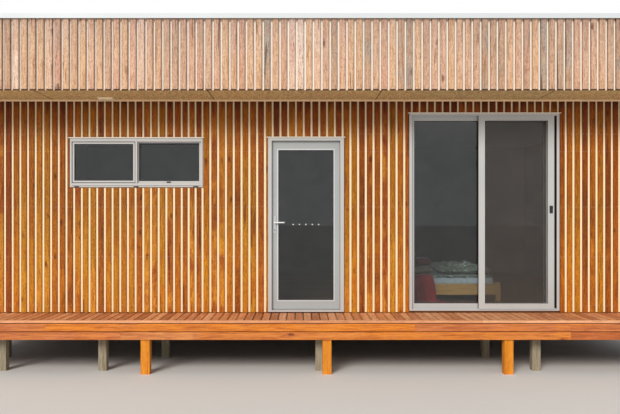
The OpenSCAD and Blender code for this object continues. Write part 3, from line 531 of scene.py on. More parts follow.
def soffit_board():
    """Brown ply with a fine speckle of olive and pink."""
    material, tree, shader = new_material("soffit_ply")
    place = object_place(tree)
    drawn = tree.vector("MULTIPLY", place, (1.0, 0.3, 1.0))
    speck = tree.noise(drawn, 70.0, 3.0, 0.75)
    tint = tree.noise(drawn, 46.0, 2.0, 0.6)
    cloud = tree.noise(place, 4.0, 3.0, 0.6)
    body = tree.blend(tree.level(speck, 0.38, 0.62), paint(255, 228, 166), paint(160, 124, 76))
    body = tree.blend(tree.level(tint, 0.52, 0.64, 0.0, 0.6), body, paint(204, 184, 104))
    body = tree.blend(tree.level(tint, 0.48, 0.36, 0.0, 0.6), body, paint(228, 172, 132))
    body = tree.blend(tree.level(cloud, 0.35, 0.7, 0.0, 0.3), body, paint(212, 172, 120))
    dress(tree, shader, body, 0.75, speck, 0.0003)
    return material


def screen_wire():
    """Dark wire with some dust on it."""
    material, tree, shader = new_material("fly_screen_wire")
    dust = tree.noise(object_place(tree), 6.0, 3.0, 0.6)
    body = tree.blend(tree.level(dust, 0.4, 0.8), paint(84, 76, 70), paint(104, 94, 84))
    dress(tree, shader, body, 0.6)
    return material


def metal(name, colour, shade, rough):
    """Bare brushed metal."""
    material, tree, shader = new_material(name)
    place = object_place(tree)
    brush = tree.noise(tree.vector("MULTIPLY", place, (0.06, 1.0, 1.0)), 900.0, 2.0, 0.6)
    body = tree.blend(tree.level(brush, 0.3, 0.7), colour, shade)
    uneven = tree.level(brush, 0.3, 0.7, rough - 0.06, rough + 0.08)
    dress(tree, shader, body, uneven, brush, 0.00005)
    shader.inputs["Metallic"].default_value = 1.0
    return material


def lever_finish():
    """Satin white on the lever and its lock, and the tone of the door on the plate behind them."""
    material, tree, shader = new_material("satin_lever_finish")
    place = object_place(tree)
    deep = tree.add("ShaderNodeSeparateXYZ", {0: place}).outputs["Y"]
    grain = tree.noise(place, PAINT_GRIT, 2.0, 0.6)
    face = -WALL_OUT + LEVER_PLATE_IN
    plate = tree.level(deep, face - 0.0006, face - 0.0002)
    body = tree.blend(plate, paint(236, 238, 241), paint(190, 193, 196))
    body = tree.blend(tree.level(grain, 0.4, 0.7, 0.0, 0.2), body, paint(172, 175, 180))
    dress(tree, shader, body, 0.3, grain, 0.00005)
    return material


def pane_glass():
    """Clear glass, slightly grey, that lets light through to the room."""
    material, tree, shader = new_material("window_glass")
    place = object_place(tree)
    film = tree.noise(place, 3.0, 3.0, 0.6)
    body = tree.blend(tree.level(film, 0.4, 0.7), paint(226, 232, 234), paint(214, 222, 226))
    dress(tree, shader, body, 0.0)
    shader.inputs["IOR"].default_value = 1.45
    shader.inputs["Transmission Weight"].default_value = 1.0
    clear = tree.add("ShaderNodeBsdfTransparent", {0: paint(226, 232, 234)})
    ray = tree.add("ShaderNodeLightPath")
    either = tree.math("MAXIMUM", ray.outputs["Is Shadow Ray"], ray.outputs["Is Diffuse Ray"])
    mix = tree.add("ShaderNodeMixShader", {0: either, 1: shader.outputs[0], 2: clear.outputs[0]})
    output = next(n for n in tree.nodes if n.type == "OUTPUT_MATERIAL")
    tree.links.new(mix.outputs[0], output.inputs[0])
    return material


def cloth(name, colour, shade, weave, blotch=None):
    """Woven cloth with a thread pattern, soft patches of tone and, on some, printed blotches."""
    material, tree, shader = new_material(name)
    place = object_place(tree)
    parts = tree.add("ShaderNodeSeparateXYZ", {0: place})
    waves = [tree.math("SINE", tree.math("MULTIPLY", parts.outputs[axis], weave))
             for axis in ("X", "Y", "Z")]
    thread = tree.math("MULTIPLY", tree.math("ADD", waves[0], waves[1]), waves[2])
    cloud = tree.noise(place, 7.0, 3.0, 0.6)
    fuzz = tree.noise(place, 500.0, 2.0, 0.6)
    body = tree.blend(tree.level(cloud, 0.35, 0.7), colour, shade)
    body = tree.blend(tree.level(fuzz, 0.4, 0.7, 0.0, 0.35), body, shade)
    if blotch:
        spots = tree.noise(place, 26.0, 2.0, 0.6, 0.8)
        body = tree.blend(tree.level(spots, 0.54, 0.60, 0.0, 0.7), body, blotch)
    dress(tree, shader, body, CLOTH_ROUGH, tree.math("ADD", thread, fuzz), CLOTH_RAISED)
    shader.inputs["Sheen Weight"].default_value = CLOTH_SHEEN
    return material


def quilt_cloth():
    """A pale-blue border along the foot of the bed and a speckled green-grey print beyond it."""
    material, tree, shader = new_material("printed_quilt_cloth")
    place = object_place(tree)
    parts = tree.add("ShaderNodeSeparateXYZ", {0: place})
    ragged = tree.noise(place, 30.0, 2.0, 0.6)
    deep = tree.math("ADD", parts.outputs["Y"], tree.level(ragged, 0.3, 0.7, -0.03, 0.03))
    height = tree.math("ADD", parts.outputs["Z"], tree.level(ragged, 0.3, 0.7, -0.006, 0.006))
    beyond = tree.math("MAXIMUM", tree.level(deep, QUILT_BORDER_Y, QUILT_BORDER_Y + 0.02),
                       tree.level(height, QUILT_BORDER_Z, QUILT_BORDER_Z + 0.004))
    spots = tree.noise(place, 24.0, 3.0, 0.75, 0.8)
    fuzz = tree.noise(place, 420.0, 2.0, 0.6)
    spotted = tree.level(spots, 0.50, 0.64, 0.0, 0.5)
    border = tree.blend(spotted, paint(190, 196, 200), paint(128, 142, 148))
    print_cloth = tree.ramp(spots, [
        (0.38, paint(216, 226, 222)), (0.43, paint(70, 82, 58)), (0.50, paint(104, 108, 78)),
        (0.55, paint(30, 36, 26)), (0.60, paint(52, 60, 44)), (0.64, paint(214, 216, 206)),
    ])
    body = tree.blend(beyond, border, print_cloth)
    dress(tree, shader, body, CLOTH_ROUGH, fuzz, CLOTH_RAISED)
    shader.inputs["Sheen Weight"].default_value = CLOTH_SHEEN
    return material


WALL_TIMBER = wall_timber()
PARAPET_TIMBER = parapet_timber()
DECK_TIMBER = deck_timber()
TRIM_TIMBER = trim_timber("oiled_trim_timber", "X")
TRIM_RETURN_TIMBER = trim_timber("oiled_trim_return_timber", "Y")
EDGE_TIMBER = edge_timber()
POST_TIMBER = post_timber()
STUMP_TIMBER = stump_timber()
CROSS_TIMBER = frame_timber("joist_timber_across", "Y")
LONG_TIMBER = frame_timber("bearer_timber_along", "X")
BED_TIMBER = bed_timber()
FLOOR_TIMBER = floor_timber()
WALL_SHEET = wall_sheet()
SOFFIT_BOARD = soffit_board()
CEILING_PAINT = painted("ceiling_paint", paint(206, 204, 200), paint(190, 188, 184), 0.7)
PARAPET_SHEET = painted("parapet_backing", paint(250, 232, 214), paint(240, 214, 190), 0.7)
WINDOW_METAL = painted("pale_window_metal", paint(194, 192, 190), paint(176, 175, 174), 0.4, worn=0.5)
# The door leaf's metal is a darker copy of the frame's: painted shade on the recessed leaf
SHADED_DOOR_METAL = painted("shaded_door_metal", paint(172, 176, 176), paint(156, 160, 160), 0.4, worn=0.5)
SLIDER_METAL = painted("pale_slider_metal", paint(190, 191, 190), paint(174, 176, 175), 0.4, worn=0.5)
BEAD_METAL = painted("pale_bead_metal", paint(204, 206, 208), paint(188, 190, 193), 0.4)
CAPPING_METAL = painted("white_capping_metal", paint(210, 216, 219), paint(198, 204, 208), 0.4)
ROOF_METAL = painted("pale_roof_metal", paint(206, 209, 208), paint(180, 183, 182), 0.4, worn=0.5)
FLASHING_METAL = painted("cream_flashing_metal", paint(232, 222, 204), paint(214, 202, 182), 0.4)
LEVER_FINISH = lever_finish()
NAIL_ZINC = painted("pale_nail_zinc", paint(236, 224, 204), paint(210, 196, 172), 0.45)
SCREW_STEEL = metal("bare_screw_steel", paint(206, 207, 208), paint(176, 177, 180), 0.3)
# Dark strips under the soffit joints, standing for the shadow in the gaps
SOFFIT_JOINT_SHADE = painted("brown_joint_shade", paint(70, 48, 28), paint(54, 36, 22), 0.8)
BLACK_PLASTIC = painted("black_moulded_plastic", paint(24, 24, 26), paint(44, 44, 46), 0.45)
RUBBER = painted("black_glazing_rubber", paint(30, 30, 31), paint(52, 52, 52), 0.7)
LAMP_WHITE = painted("lamp_cream", paint(255, 240, 206), paint(246, 226, 188), 0.5)
BEAD_PAINT = painted("soffit_bead_paint", paint(246, 212, 172), paint(232, 196, 152), 0.6)
STRIP_PAINT = strip_paint()
PARAPET_STRIP_PAINT = painted("parapet_strip_paint", paint(255, 248, 236), paint(252, 238, 220), 0.7)
GLASS_MARK = painted("white_glass_mark", paint(250, 251, 252), paint(240, 242, 244), 0.6)
GLASS = pane_glass()
SCREEN_WIRE = screen_wire()
QUILT_CLOTH = quilt_cloth()
RED_CLOTH = cloth("dark_red_throw_cloth", paint(178, 14, 18), paint(132, 8, 12), weave=420.0)
CUSHION_CLOTH = cloth("red_cushion_cloth", paint(104, 12, 14), paint(78, 8, 10), weave=520.0)
BEIGE_CLOTH = cloth("beige_cushion_cloth", paint(156, 138, 114), paint(122, 106, 86), weave=520.0,
                    blotch=paint(78, 66, 58))

CAD_FINISH = {
    "stumps": STUMP_TIMBER, "bearers": LONG_TIMBER, "floor_joists": CROSS_TIMBER,
    "deck_joists": LONG_TIMBER, "deck_posts": POST_TIMBER, "floor": FLOOR_TIMBER,
    "front_wall_piers": WALL_SHEET, "front_wall_sill_panel": WALL_SHEET,
    "front_wall_lintels": WALL_SHEET, "left_wall": WALL_SHEET, "right_wall": WALL_SHEET,
    "back_wall": WALL_SHEET, "ceiling": CEILING_PAINT, "soffit": SOFFIT_BOARD,
    "roof_joists": CROSS_TIMBER, "roof_purlins": LONG_TIMBER, "roof_sheets": ROOF_METAL,
    "roof_gutter": ROOF_METAL, "parapet_long_frames": PARAPET_SHEET,
    "parapet_end_frames": PARAPET_SHEET, "parapet_capping": CAPPING_METAL,
    "window_frame": WINDOW_METAL, "window_sash": WINDOW_METAL, "window_glass": GLASS,
    "vent_window_frames": WINDOW_METAL, "vent_window_glass": GLASS,
    "head_flashings": FLASHING_METAL, "door_frame": WINDOW_METAL, "door_leaf": SHADED_DOOR_METAL,
    "door_glass": GLASS, "door_handle": LEVER_FINISH, "slider_frame": WINDOW_METAL,
    "slider_fixed_sash": SLIDER_METAL, "slider_fixed_glass": GLASS, "slider_leaf": SLIDER_METAL,
    "slider_leaf_glass": GLASS, "screen_door": SLIDER_METAL, "screen_latch": BLACK_PLASTIC,
    "eave_light": LAMP_WHITE, "bed_frame": BED_TIMBER,
    "mattress": QUILT_CLOTH, "cushions": CUSHION_CLOTH, "throw": RED_CLOTH,
}


def finish_cad_nodes():
    """Gives each construction node the material of its finish."""
    for name, material in CAD_FINISH.items():
        mesh = NODES[name].data
        mesh.materials.clear()
        mesh.materials.append(material)


# Boards

def carried(tree, name):
    """The named vector that each point carries."""
    vector = tree.add("GeometryNodeInputNamedAttribute", {"Name": name}, data_type="FLOAT_VECTOR")
    return vector.outputs[0]


def board_tree():
    """Boards of one rounded section on points that carry their stretch, turn, tone and shift."""
    group, tree, given = new_group("boards", [
        ("Points", "Geometry"), ("Width", "Float"), ("Thickness", "Float"), ("Rounding", "Float"),
        ("Material", "Material"),
    ], "Boards")
    outline = tree.add("GeometryNodeCurvePrimitiveQuadrilateral",
                       {"Width": given["Width"], "Height": given["Thickness"]})
    eased = tree.add("GeometryNodeFilletCurve",
                     {"Curve": outline.outputs[0], "Radius": given["Rounding"]})
    face = tree.add("GeometryNodeFillCurve", {"Curve": eased.outputs[0]}, mode="NGONS")
    half = tree.math("MULTIPLY", given["Thickness"], 0.5)
    inwards = tree.add("ShaderNodeCombineXYZ", {1: half}).outputs[0]
    foot = tree.add("GeometryNodeTransform", {"Geometry": face.outputs[0], "Translation": inwards})
    raised = tree.add("GeometryNodeExtrudeMesh",
                      {"Mesh": foot.outputs[0], "Offset": (0.0, 0.0, 1.0), "Offset Scale": 1.0})
    under = tree.add("GeometryNodeFlipFaces", {"Mesh": foot.outputs[0]})
    joined = tree.add("GeometryNodeJoinGeometry")
    tree.links.new(raised.outputs["Mesh"], joined.inputs[0])
    tree.links.new(under.outputs[0], joined.inputs[0])
    closed = tree.add("GeometryNodeMergeByDistance",
                      {"Geometry": joined.outputs[0], "Distance": 1e-5})
    side = tree.add("ShaderNodeSeparateXYZ", {0: tree.add("GeometryNodeInputPosition").outputs[0]})
    across = tree.math("DIVIDE", tree.math("MULTIPLY", side.outputs["X"], 2.0), given["Width"])
    marked = tree.add("GeometryNodeStoreNamedAttribute",
                      {"Geometry": closed.outputs[0], "Name": "across", "Value": across},
                      data_type="FLOAT", domain="POINT")
    stretch = carried(tree, "stretch")
    turned = tree.add("FunctionNodeEulerToRotation", {0: carried(tree, "turn")})
    set_out = tree.add("GeometryNodeInstanceOnPoints", {
        "Points": given["Points"], "Instance": marked.outputs[0],
        "Rotation": turned.outputs[0], "Scale": stretch,
    })
    end_group(tree, set_out.outputs[0], given["Material"])
    return group


def stud_tree():
    """Small domed heads on points, each turned the way its point says."""
    group, tree, given = new_group("studs", [
        ("Points", "Geometry"), ("Radius", "Float"), ("Height", "Float"), ("Sides", "Int"),
        ("Material", "Material"),
    ], "Studs")
    head = tree.add("GeometryNodeMeshCone", {
        "Vertices": given["Sides"], "Radius Bottom": given["Radius"],
        "Radius Top": tree.math("MULTIPLY", given["Radius"], 0.6), "Depth": given["Height"],
    })
    turned = tree.add("FunctionNodeEulerToRotation", {0: carried(tree, "turn")})
    set_out = tree.add("GeometryNodeInstanceOnPoints", {
        "Points": given["Points"], "Instance": head.outputs["Mesh"], "Rotation": turned.outputs[0],
    })
    end_group(tree, set_out.outputs[0], given["Material"])
    return group


def point_mesh(name, points, vectors, numbers=None):
    """A mesh of loose points with named vectors and numbers on them."""
    mesh = bpy.data.meshes.new(name)
    mesh.from_pydata(points, [], [])
    for title, values in vectors.items():
        layer = mesh.attributes.new(title, "FLOAT_VECTOR", "POINT")
        layer.data.foreach_set("vector", [part for value in values for part in value])
    for title, values in (numbers or {}).items():
        layer = mesh.attributes.new(title, "FLOAT", "POINT")
        layer.data.foreach_set("value", values)
    return mesh


def linked(name, data):
    """A new object in the scene."""
    thing = bpy.data.objects.new(name, data)
    bpy.context.scene.collection.objects.link(thing)
    return thing


def plain_mesh(holder):
    """The mesh that an object comes to with its modifiers. They and the object are then removed."""
    graph = bpy.context.evaluated_depsgraph_get()
    mesh = bpy.data.meshes.new_from_object(holder.evaluated_get(graph))
    holder.modifiers.clear()
    bpy.data.objects.remove(holder)
    return mesh


def grow(name, group, points, body, slot, replaced=(), **settings):
    """Runs a geometry tree on a mesh of points and keeps the outcome as one plain piece."""
    holder = linked(name + "_points", points)
    modifier = holder.modifiers.new("grow", "NODES")
    modifier.node_group = group
    for port in group.interface.items_tree:
        if port.in_out == "INPUT" and port.name in settings:
            modifier[port.identifier] = settings[port.name]
    return keep(name, plain_mesh(holder), body, replaced)


def keep(name, mesh, body, replaced=()):
    """Puts a finished mesh in the scene as a piece of the house."""
    mesh.name = name
    piece = linked(name, mesh)
    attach(piece, body)
    if replaced:
        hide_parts(*replaced)
    return piece


def place_of(number, marks):
    """Where a numbered gap is, between the marks either side of it."""
    for (first, start), (last, end) in zip(marks, marks[1:]):
        if number <= last:
            return start + (end - start) * (number - first) / (last - first)
    return marks[-1][1]


def marked_boards(marks, gap, low, high):
    """The left and right side of each board between marked gaps, with the ends of the wall."""
    middles = [place_of(k, marks) for k in range(marks[0][0], marks[-1][0] + 1)]
    lefts = [low] + [m + gap / 2 for m in middles]
    rights = [m - gap / 2 for m in middles] + [high]
    return list(zip(lefts, rights))


def even_boards(low, high, gap, pitch):
    """Boards spread evenly from low to high."""
    count = round((high - low + gap) / pitch)
    step = (high - low + gap) / count
    return [(low + i * step, low + (i + 1) * step - gap) for i in range(count)]


def cut_round(board, bottom, top, holes, least=0.012):
    """The rectangles that a board leaves where openings are cut out of it."""
    parts = [(board[0], board[1], bottom, top)]
    for left, right, low, high in holes:
        kept = []
        for x0, x1, z0, z1 in parts:
            if x1 <= left or x0 >= right or z1 <= low or z0 >= high:
                kept.append((x0, x1, z0, z1))
                continue
            kept += [(x0, x1, z0, low)] if z0 < low else []
            kept += [(x0, x1, high, z1)] if z1 > high else []
            middle = (max(z0, low), min(z1, high))
            kept += [(x0, left, *middle)] if left - x0 > least else []
            kept += [(right, x1, *middle)] if x1 - right > least else []
        parts = kept
    return parts


class Course:
    """Collects boards as points with their stretch, turn, tone and shift."""

    def __init__(self, width):
        self.width = width
        self.points, self.stretch, self.turn, self.tone, self.shift = [], [], [], [], []

    def lay(self, point, width, length, turn, tone, shift):
        self.points.append(point)
        self.stretch.append((width / self.width, 1.0, length))
        self.turn.append(turn)
        self.tone.append(tone)
        self.shift.append(shift)

    def mesh(self, name):
        vectors = {"stretch": self.stretch, "turn": self.turn}
        return point_mesh(name, self.points, vectors, {"tone": self.tone, "shift": self.shift})


SIDES = {
    "front": (0.0, lambda u, out: (u, -out)),
    "back": (math.pi, lambda u, out: (-u, out)),
    "left": (-QUARTER, lambda u, out: (-out, -u)),
    "right": (QUARTER, lambda u, out: (out, u)),
}


def stand_strips(course, side, out, boards, bottom, top, holes):
    """Cream strips behind the gaps between boards, out metres from the middle of the house."""
    angle, put = SIDES[side]
    for (_, left), (right, _) in zip(boards, boards[1:]):
        gap = (left - STRIP_LAP, right + STRIP_LAP)
        for x0, x1, z0, z1 in cut_round(gap, bottom, top, holes, 0.004):
            x, y = put((x0 + x1) / 2, out)
            course.lay((x, y, z0), x1 - x0, z1 - z0, (0.0, 0.0, angle), 0.5, 0.5)


def stand_boards(course, nails, side, out, boards, bottom, top, holes, nail_rows, tones):
    """Stands boards on one side of the house, out metres from its middle, with nails in rows."""
    angle, put = SIDES[side]
    for board in boards:
        tone = tones(board)
        shift = chance.random()
        for x0, x1, z0, z1 in cut_round(board, bottom, top, holes):
            x, y = put((x0 + x1) / 2, out)
            course.lay((x, y, z0), x1 - x0, z1 - z0, (0.0, 0.0, angle), tone, shift)
            if x1 - x0 < LEAST_NAILED:
                continue
            for row in nail_rows:
                if z0 + 0.02 < row < z1 - 0.02:
                    for away in (-NAIL_AWAY, NAIL_AWAY):
                        nx, ny = put((x0 + x1) / 2 + away, out + CLEAR)
                        height = row + chance.uniform(-NAIL_SKEW, NAIL_SKEW)
                        nails.append(((nx, ny, height), angle))


def clad_walls(boards, studs):
    """The upright boards of the four walls, with the cream strips between them."""
    low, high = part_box("front_cladding")
    back_low, back_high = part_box("back_cladding")
    end_low, end_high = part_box("end_cladding")
    vent_low, vent_high = vent_span()
    doors = [opening(node) for node in ("door_frame", "slider_frame")]
    front_holes = [opening("window_frame")]
    front_holes += [(left, right, low.z - 1, top) for left, right, _, top in doors]
    back_holes = [(x - VENT_HALF, x + VENT_HALF, vent_low, vent_high)
                  for x in (-BACK_VENT, BACK_VENT)]
    end_holes = [(-VENT_HALF, VENT_HALF, vent_low, vent_high)]
    front = marked_boards(FRONT_MARKS, BOARD_GAP, low.x, high.x)
    back = even_boards(back_low.x, back_high.x, BOARD_GAP, EVEN_PITCH)
    end = even_boards(end_low.y + BOARD_GAP, end_high.y - BOARD_GAP, BOARD_GAP, EVEN_PITCH)
    end_strips = [(0, end_low.y)] + end + [(end_high.y, 0)]
    rows = NAIL_ROWS
    walls = [
        ("front", [("front", front, front)], -low.y, low.z, high.z, front_holes),
        ("back", [("back", back, back)], back_high.y, back_low.z, back_high.z, back_holes),
        ("end", [("left", end, end_strips), ("right", end, end_strips)], end_high.x, end_low.z,
         end_high.z, end_holes),
    ]
    nails = []
    width = EVEN_PITCH - BOARD_GAP
    for name, sides, out, bottom, top, holes in walls:
        course = Course(width)
        strips = Course(BOARD_GAP)
        tones = wall_tone if name == "front" else any_tone
        for side, laid, edges in sides:
            stand_boards(course, nails, side, out, laid, bottom, top, holes, rows, tones)
            stand_strips(strips, side, out - STRIP_IN, edges, bottom + 0.004, top, holes)
        grow(name + "_boards", boards, course.mesh(name), "house", "wall_boards",
             [name + "_cladding"], Width=width, Thickness=BOARD_T, Rounding=BOARD_ROUND,
             Material=WALL_TIMBER)
        grow(name + "_strips", boards, strips.mesh(name), "house", "wall_sheet", Width=BOARD_GAP,
             Thickness=BOARD_T - STRIP_IN, Rounding=0.0005, Material=STRIP_PAINT)
        rows = (LOW_NAIL_ROW,) + NAIL_ROWS
    nail_heads("wall_nails", studs, nails, WALL_NAIL, "wall_boards")


def any_tone(_):
    """Any tone, wherever the board stands."""
    return chance.random()


def wall_tone(board):
    """Any tone, but duller past the end where the boards have weathered darker."""
    return chance.random() * (0.55 if board[0] > DARKER_FROM else 1.0)


def parapet_tone(board):
    """Mostly warm tones, with a few boards that have gone pale or grey."""
    x = (board[0] + board[1]) / 2
    tone = chance.uniform(0.1, 0.86)
    if PALE_BOARDS[0] < x < PALE_BOARDS[1]:
        return 1.0
    if GREY_BOARDS[0] < x < GREY_BOARDS[1]:
        return tone * 0.3
    return tone * (0.7 if x > DARKER_FROM else 1.0)


def vent_span():
    """The bottom and top of the holes for the single windows."""
    low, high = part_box("vent_window_frames")
    return low.z - OPENING_GAP, high.z + OPENING_GAP


def nail_heads(name, studs, nails, radius, slot):
    """Nail heads, each lying on the face that its angle names."""
    points = [place for place, angle in nails]
    turns = [(QUARTER, 0.0, angle) for place, angle in nails]
    mesh = point_mesh(name, points, {"turn": turns})
    grow(name, studs, mesh, "house", slot, Radius=radius, Height=HEAD_T, Sides=6,
         Material=NAIL_ZINC)


def clad_parapet(boards, studs):
    """The short upright boards of the parapet on all four sides, with pale strips between them."""
    low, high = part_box("parapet_cladding")
    width = EVEN_PITCH - PARAPET_GAP
    course = Course(width)
    strips = Course(PARAPET_GAP)
    nails = []
    rows = PARAPET_NAIL_ROWS
    long_side = marked_boards(PARAPET_MARKS, PARAPET_GAP, low.x, high.x)
    inner = -low.y - BOARD_T - PARAPET_GAP
    short_side = even_boards(-inner, inner, PARAPET_GAP, EVEN_PITCH)
    sides = [("front", high.y, long_side), ("back", high.y, long_side),
             ("left", high.x, short_side), ("right", high.x, short_side)]
    for side, out, laid in sides:
        stand_boards(course, nails, side, out, laid, low.z, high.z, [], rows, parapet_tone)
        stand_strips(strips, side, out - PARAPET_STRIP_IN, laid, low.z + 0.002, high.z, [])
    grow("parapet_boards", boards, course.mesh("parapet_boards"), "house", "parapet_boards",
         ["parapet_cladding"], Width=width, Thickness=BOARD_T, Rounding=BOARD_ROUND,
         Material=PARAPET_TIMBER)
    grow("parapet_strips", boards, strips.mesh("parapet_strips"), "house", "parapet_sheet",
         Width=PARAPET_GAP, Thickness=BOARD_T - PARAPET_STRIP_IN, Rounding=0.0003,
         Material=PARAPET_STRIP_PAINT)
    nail_heads("parapet_nails", studs, nails, PARAPET_NAIL, "parapet_boards")


def lay_deck(boards, studs):
    """Deck boards from the wall to the front edge, with two screws at each joist."""
    low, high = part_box("deck_boards")
    width = DECK_PITCH - DECK_GAP
    course = Course(width)
    first = math.floor((low.x - DECK_SEAM) / DECK_PITCH)
    last = math.ceil((high.x - DECK_SEAM) / DECK_PITCH)
    screws = []
    for k in range(first, last):
        x0 = max(low.x, DECK_SEAM + k * DECK_PITCH + DECK_GAP / 2)
        x1 = min(high.x, DECK_SEAM + (k + 1) * DECK_PITCH - DECK_GAP / 2)
        if x1 - x0 < 0.01:
            continue
        middle = (x0 + x1) / 2
        course.lay((middle, low.y, high.z), x1 - x0, high.y - low.y, (-QUARTER, 0.0, 0.0),
                   chance.random(), chance.random())
        for y in (low.y + 0.022, DECK_MIDDLE_ROW, high.y - 0.03):
            for away in (-SCREW_AWAY, SCREW_AWAY):
                screws.append((middle + away, y, high.z + CLEAR))
    grow("deck_planks", boards, course.mesh("deck_planks"), "house", "deck_timber",
         ["deck_boards"], Width=width, Thickness=high.z - low.z, Rounding=0.003,
         Material=DECK_TIMBER)
    mesh = point_mesh("deck_screws", screws, {"turn": [(0.0, 0.0, 0.0)] * len(screws)})
    grow("deck_screws", studs, mesh, "house", "deck_timber", Radius=DECK_SCREW, Height=HEAD_T,
         Sides=8, Material=SCREW_STEEL)


def trim_deck(boards):
    """The front edge board and the two trim boards, butted end to end along the deck.

    Each row ends in its runs: where a board stops along X, and its tone.
    """
    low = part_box("deck_edge_boards")[0]
    upper = DECK_TOP - TRIM_DROP - TRIM_H / 2
    lower = low.z + TRIM_H / 2
    rows = [
        ("deck_edge_trim", DECK_TOP - EDGE_H / 2, EDGE_H, EDGE_T, low.y, EDGE_TIMBER,
         [(-1.46, 0.55), (1.92, 0.2), (math.inf, 0.8)]),
        ("deck_upper_trim", upper, TRIM_H, TRIM_T, low.y + TRIM_IN, TRIM_TIMBER,
         [(-2.966, 0.0), (1.165, 0.3), (3.7, 0.02), (math.inf, 0.5)]),
        ("deck_lower_trim", lower, TRIM_H, TRIM_T, low.y + TRIM_IN, TRIM_TIMBER,
         [(-2.13, 0.04), (-1.238, 1.0), (2.908, 0.52), (math.inf, 0.8)]),
    ]
    for name, height, tall, thick, face, material, runs in rows:
        reach = END_OUT + thick
        course = Course(tall)
        start = -reach
        for end, tone in runs:
            stop = min(end, reach)
            course.lay((start, face, height), tall, stop - start - 0.001, (0.0, QUARTER, 0.0),
                       tone, chance.random())
            start = stop
        mesh = course.mesh(name)
        grow(name, boards, mesh, "house", "trim_timber", Width=tall, Thickness=thick,
                         Rounding=0.003, Material=material)
        course = Course(tall)
        back = -WALL_OUT
        front = face + thick
        course.lay((-reach, back, height), tall, back - front, (0.0, QUARTER, -QUARTER), 0.6, 0.3)
        course.lay((reach, front, height), tall, back - front, (0.0, QUARTER, QUARTER), 0.5, 0.7)
        grow(name + "_returns", boards, course.mesh(name), "house", "trim_timber", Width=tall,
             Thickness=thick, Rounding=0.003, Material=TRIM_RETURN_TIMBER)
    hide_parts("deck_edge_boards")


def lay_floor(boards):
    """Narrow boards along the room, on the joists."""
    low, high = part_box("floor")
    width = FLOOR_PITCH - FLOOR_GAP
    course = Course(width)
    for y0, y1 in even_boards(low.y, high.y, FLOOR_GAP, FLOOR_PITCH):
        course.lay((low.x, (y0 + y1) / 2, high.z), y1 - y0, high.x - low.x,
                   (-QUARTER, 0.0, -QUARTER), chance.random(), chance.random())
    grow("floor_planks", boards, course.mesh("floor_planks"), "house", "floor_boards", ["floor"],
         Width=width, Thickness=high.z - low.z, Rounding=0.001, Material=FLOOR_TIMBER)


# Fly screen

def net_tree():
    """A net of straight wires, upright ones in front of level ones, set on each point."""
    group, tree, given = new_group("net", [
        ("Points", "Geometry"), ("Width", "Float"), ("Tall", "Float"), ("Pitch", "Float"),
        ("Wire", "Float"), ("Material", "Material"),
    ], "Net")
    half_wire = tree.math("MULTIPLY", given["Wire"], 0.5)
    both = tree.add("GeometryNodeJoinGeometry")
    rows = [("Width", "Tall", 0, (0.0, 0.0, 0.0), -1.0),
            ("Tall", "Width", 2, (0.0, QUARTER, 0.0), 1.0)]
    for across, along, axis, turn, side in rows:
        count = tree.math("FLOOR", tree.math("DIVIDE", given[across], given["Pitch"]))
        depth = tree.math("MULTIPLY", half_wire, side)
        start = {axis: tree.math("MULTIPLY", given[across], -0.5), 1: depth}
        first = tree.add("ShaderNodeCombineXYZ", start).outputs[0]
        step = tree.add("ShaderNodeCombineXYZ", {axis: given["Pitch"]}).outputs[0]
        line = tree.add("GeometryNodeMeshLine",
                        {"Count": count, "Start Location": first, "Offset": step}, mode="OFFSET")
        wire = tree.add("GeometryNodeMeshCylinder", {
            "Vertices": 5, "Radius": half_wire, "Depth": given[along],
        })
        wires = tree.add("GeometryNodeInstanceOnPoints", {
            "Points": line.outputs[0], "Instance": wire.outputs["Mesh"], "Rotation": turn,
        })
        tree.links.new(wires.outputs[0], both.inputs[0])
    net = tree.add("GeometryNodeInstanceOnPoints",
                   {"Points": given["Points"], "Instance": both.outputs[0]})
    end_group(tree, net.outputs[0], given["Material"])
    return group


def stretch_screen():
    """The wire net of the screen door, from edge to edge of its sheet."""
    low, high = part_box("screen_mesh")
    points = point_mesh("screen_net", [(low + high) / 2], {})
    grow("screen_net", net_tree(), points, "screen_door", "screen_mesh", ["screen_mesh"],
         Width=high.x - low.x, Tall=high.z - low.z, Pitch=WIRE_PITCH, Wire=WIRE,
         Material=SCREEN_WIRE)


# Beads, seals and small fittings

def finished(name, made, material, body, replaced=()):
    """Turns a mesh in the making into a finished piece."""
    bmesh.ops.recalc_face_normals(made, faces=made.faces)
    mesh = bpy.data.meshes.new(name)
    made.to_mesh(mesh)
    made.free()
    mesh.materials.append(material)
    return keep(name, mesh, body, replaced)


def add_box(made, low, high, ease):
    """A box with eased edges."""
    corners = bmesh.ops.create_cube(made, size=1.0)["verts"]
    size = Vector(high) - Vector(low)
    middle = (Vector(high) + Vector(low)) / 2
    for corner in corners:
        corner.co = Vector([a * b for a, b in zip(corner.co, size)]) + middle
    edges = {edge for corner in corners for edge in corner.link_edges}
    bmesh.ops.bevel(made, geom=list(edges), offset=ease, segments=2, profile=0.5, affect="EDGES")


def fit_boxes(name, boxes, material, body="house"):
    """A piece of one or more boxes: the low corner, high corner and ease of each."""
    made = bmesh.new()
    for low, high, ease in boxes:
        add_box(made, low, high, ease)
    finished(name, made, material, body)


def add_ring(made, corners):
    """A closed mitred ring through four corners, each a list of its section's points."""
    loops = [[made.verts.new(point) for point in corner] for corner in corners]
    count = len(loops[0])
    for here, there in zip(loops, loops[1:] + loops[:1]):
        for k in range(count):
            after = (k + 1) % count
            made.faces.new((here[k], here[after], there[after], there[k]))


def add_pane_ring(made, side, edges, section):
    """A ring round a pane: section points are (distance in from the edge, distance out)."""
    put = SIDES[side][1]
    left, right, bottom, top = edges
    corners = []
    for at_right, at_top in ((False, False), (True, False), (True, True), (False, True)):
        corner = []
        for inset, out in section:
            x, y = put(right - inset if at_right else left + inset, out)
            corner.append((x, y, top - inset if at_top else bottom + inset))
        corners.append(corner)
    add_ring(made, corners)


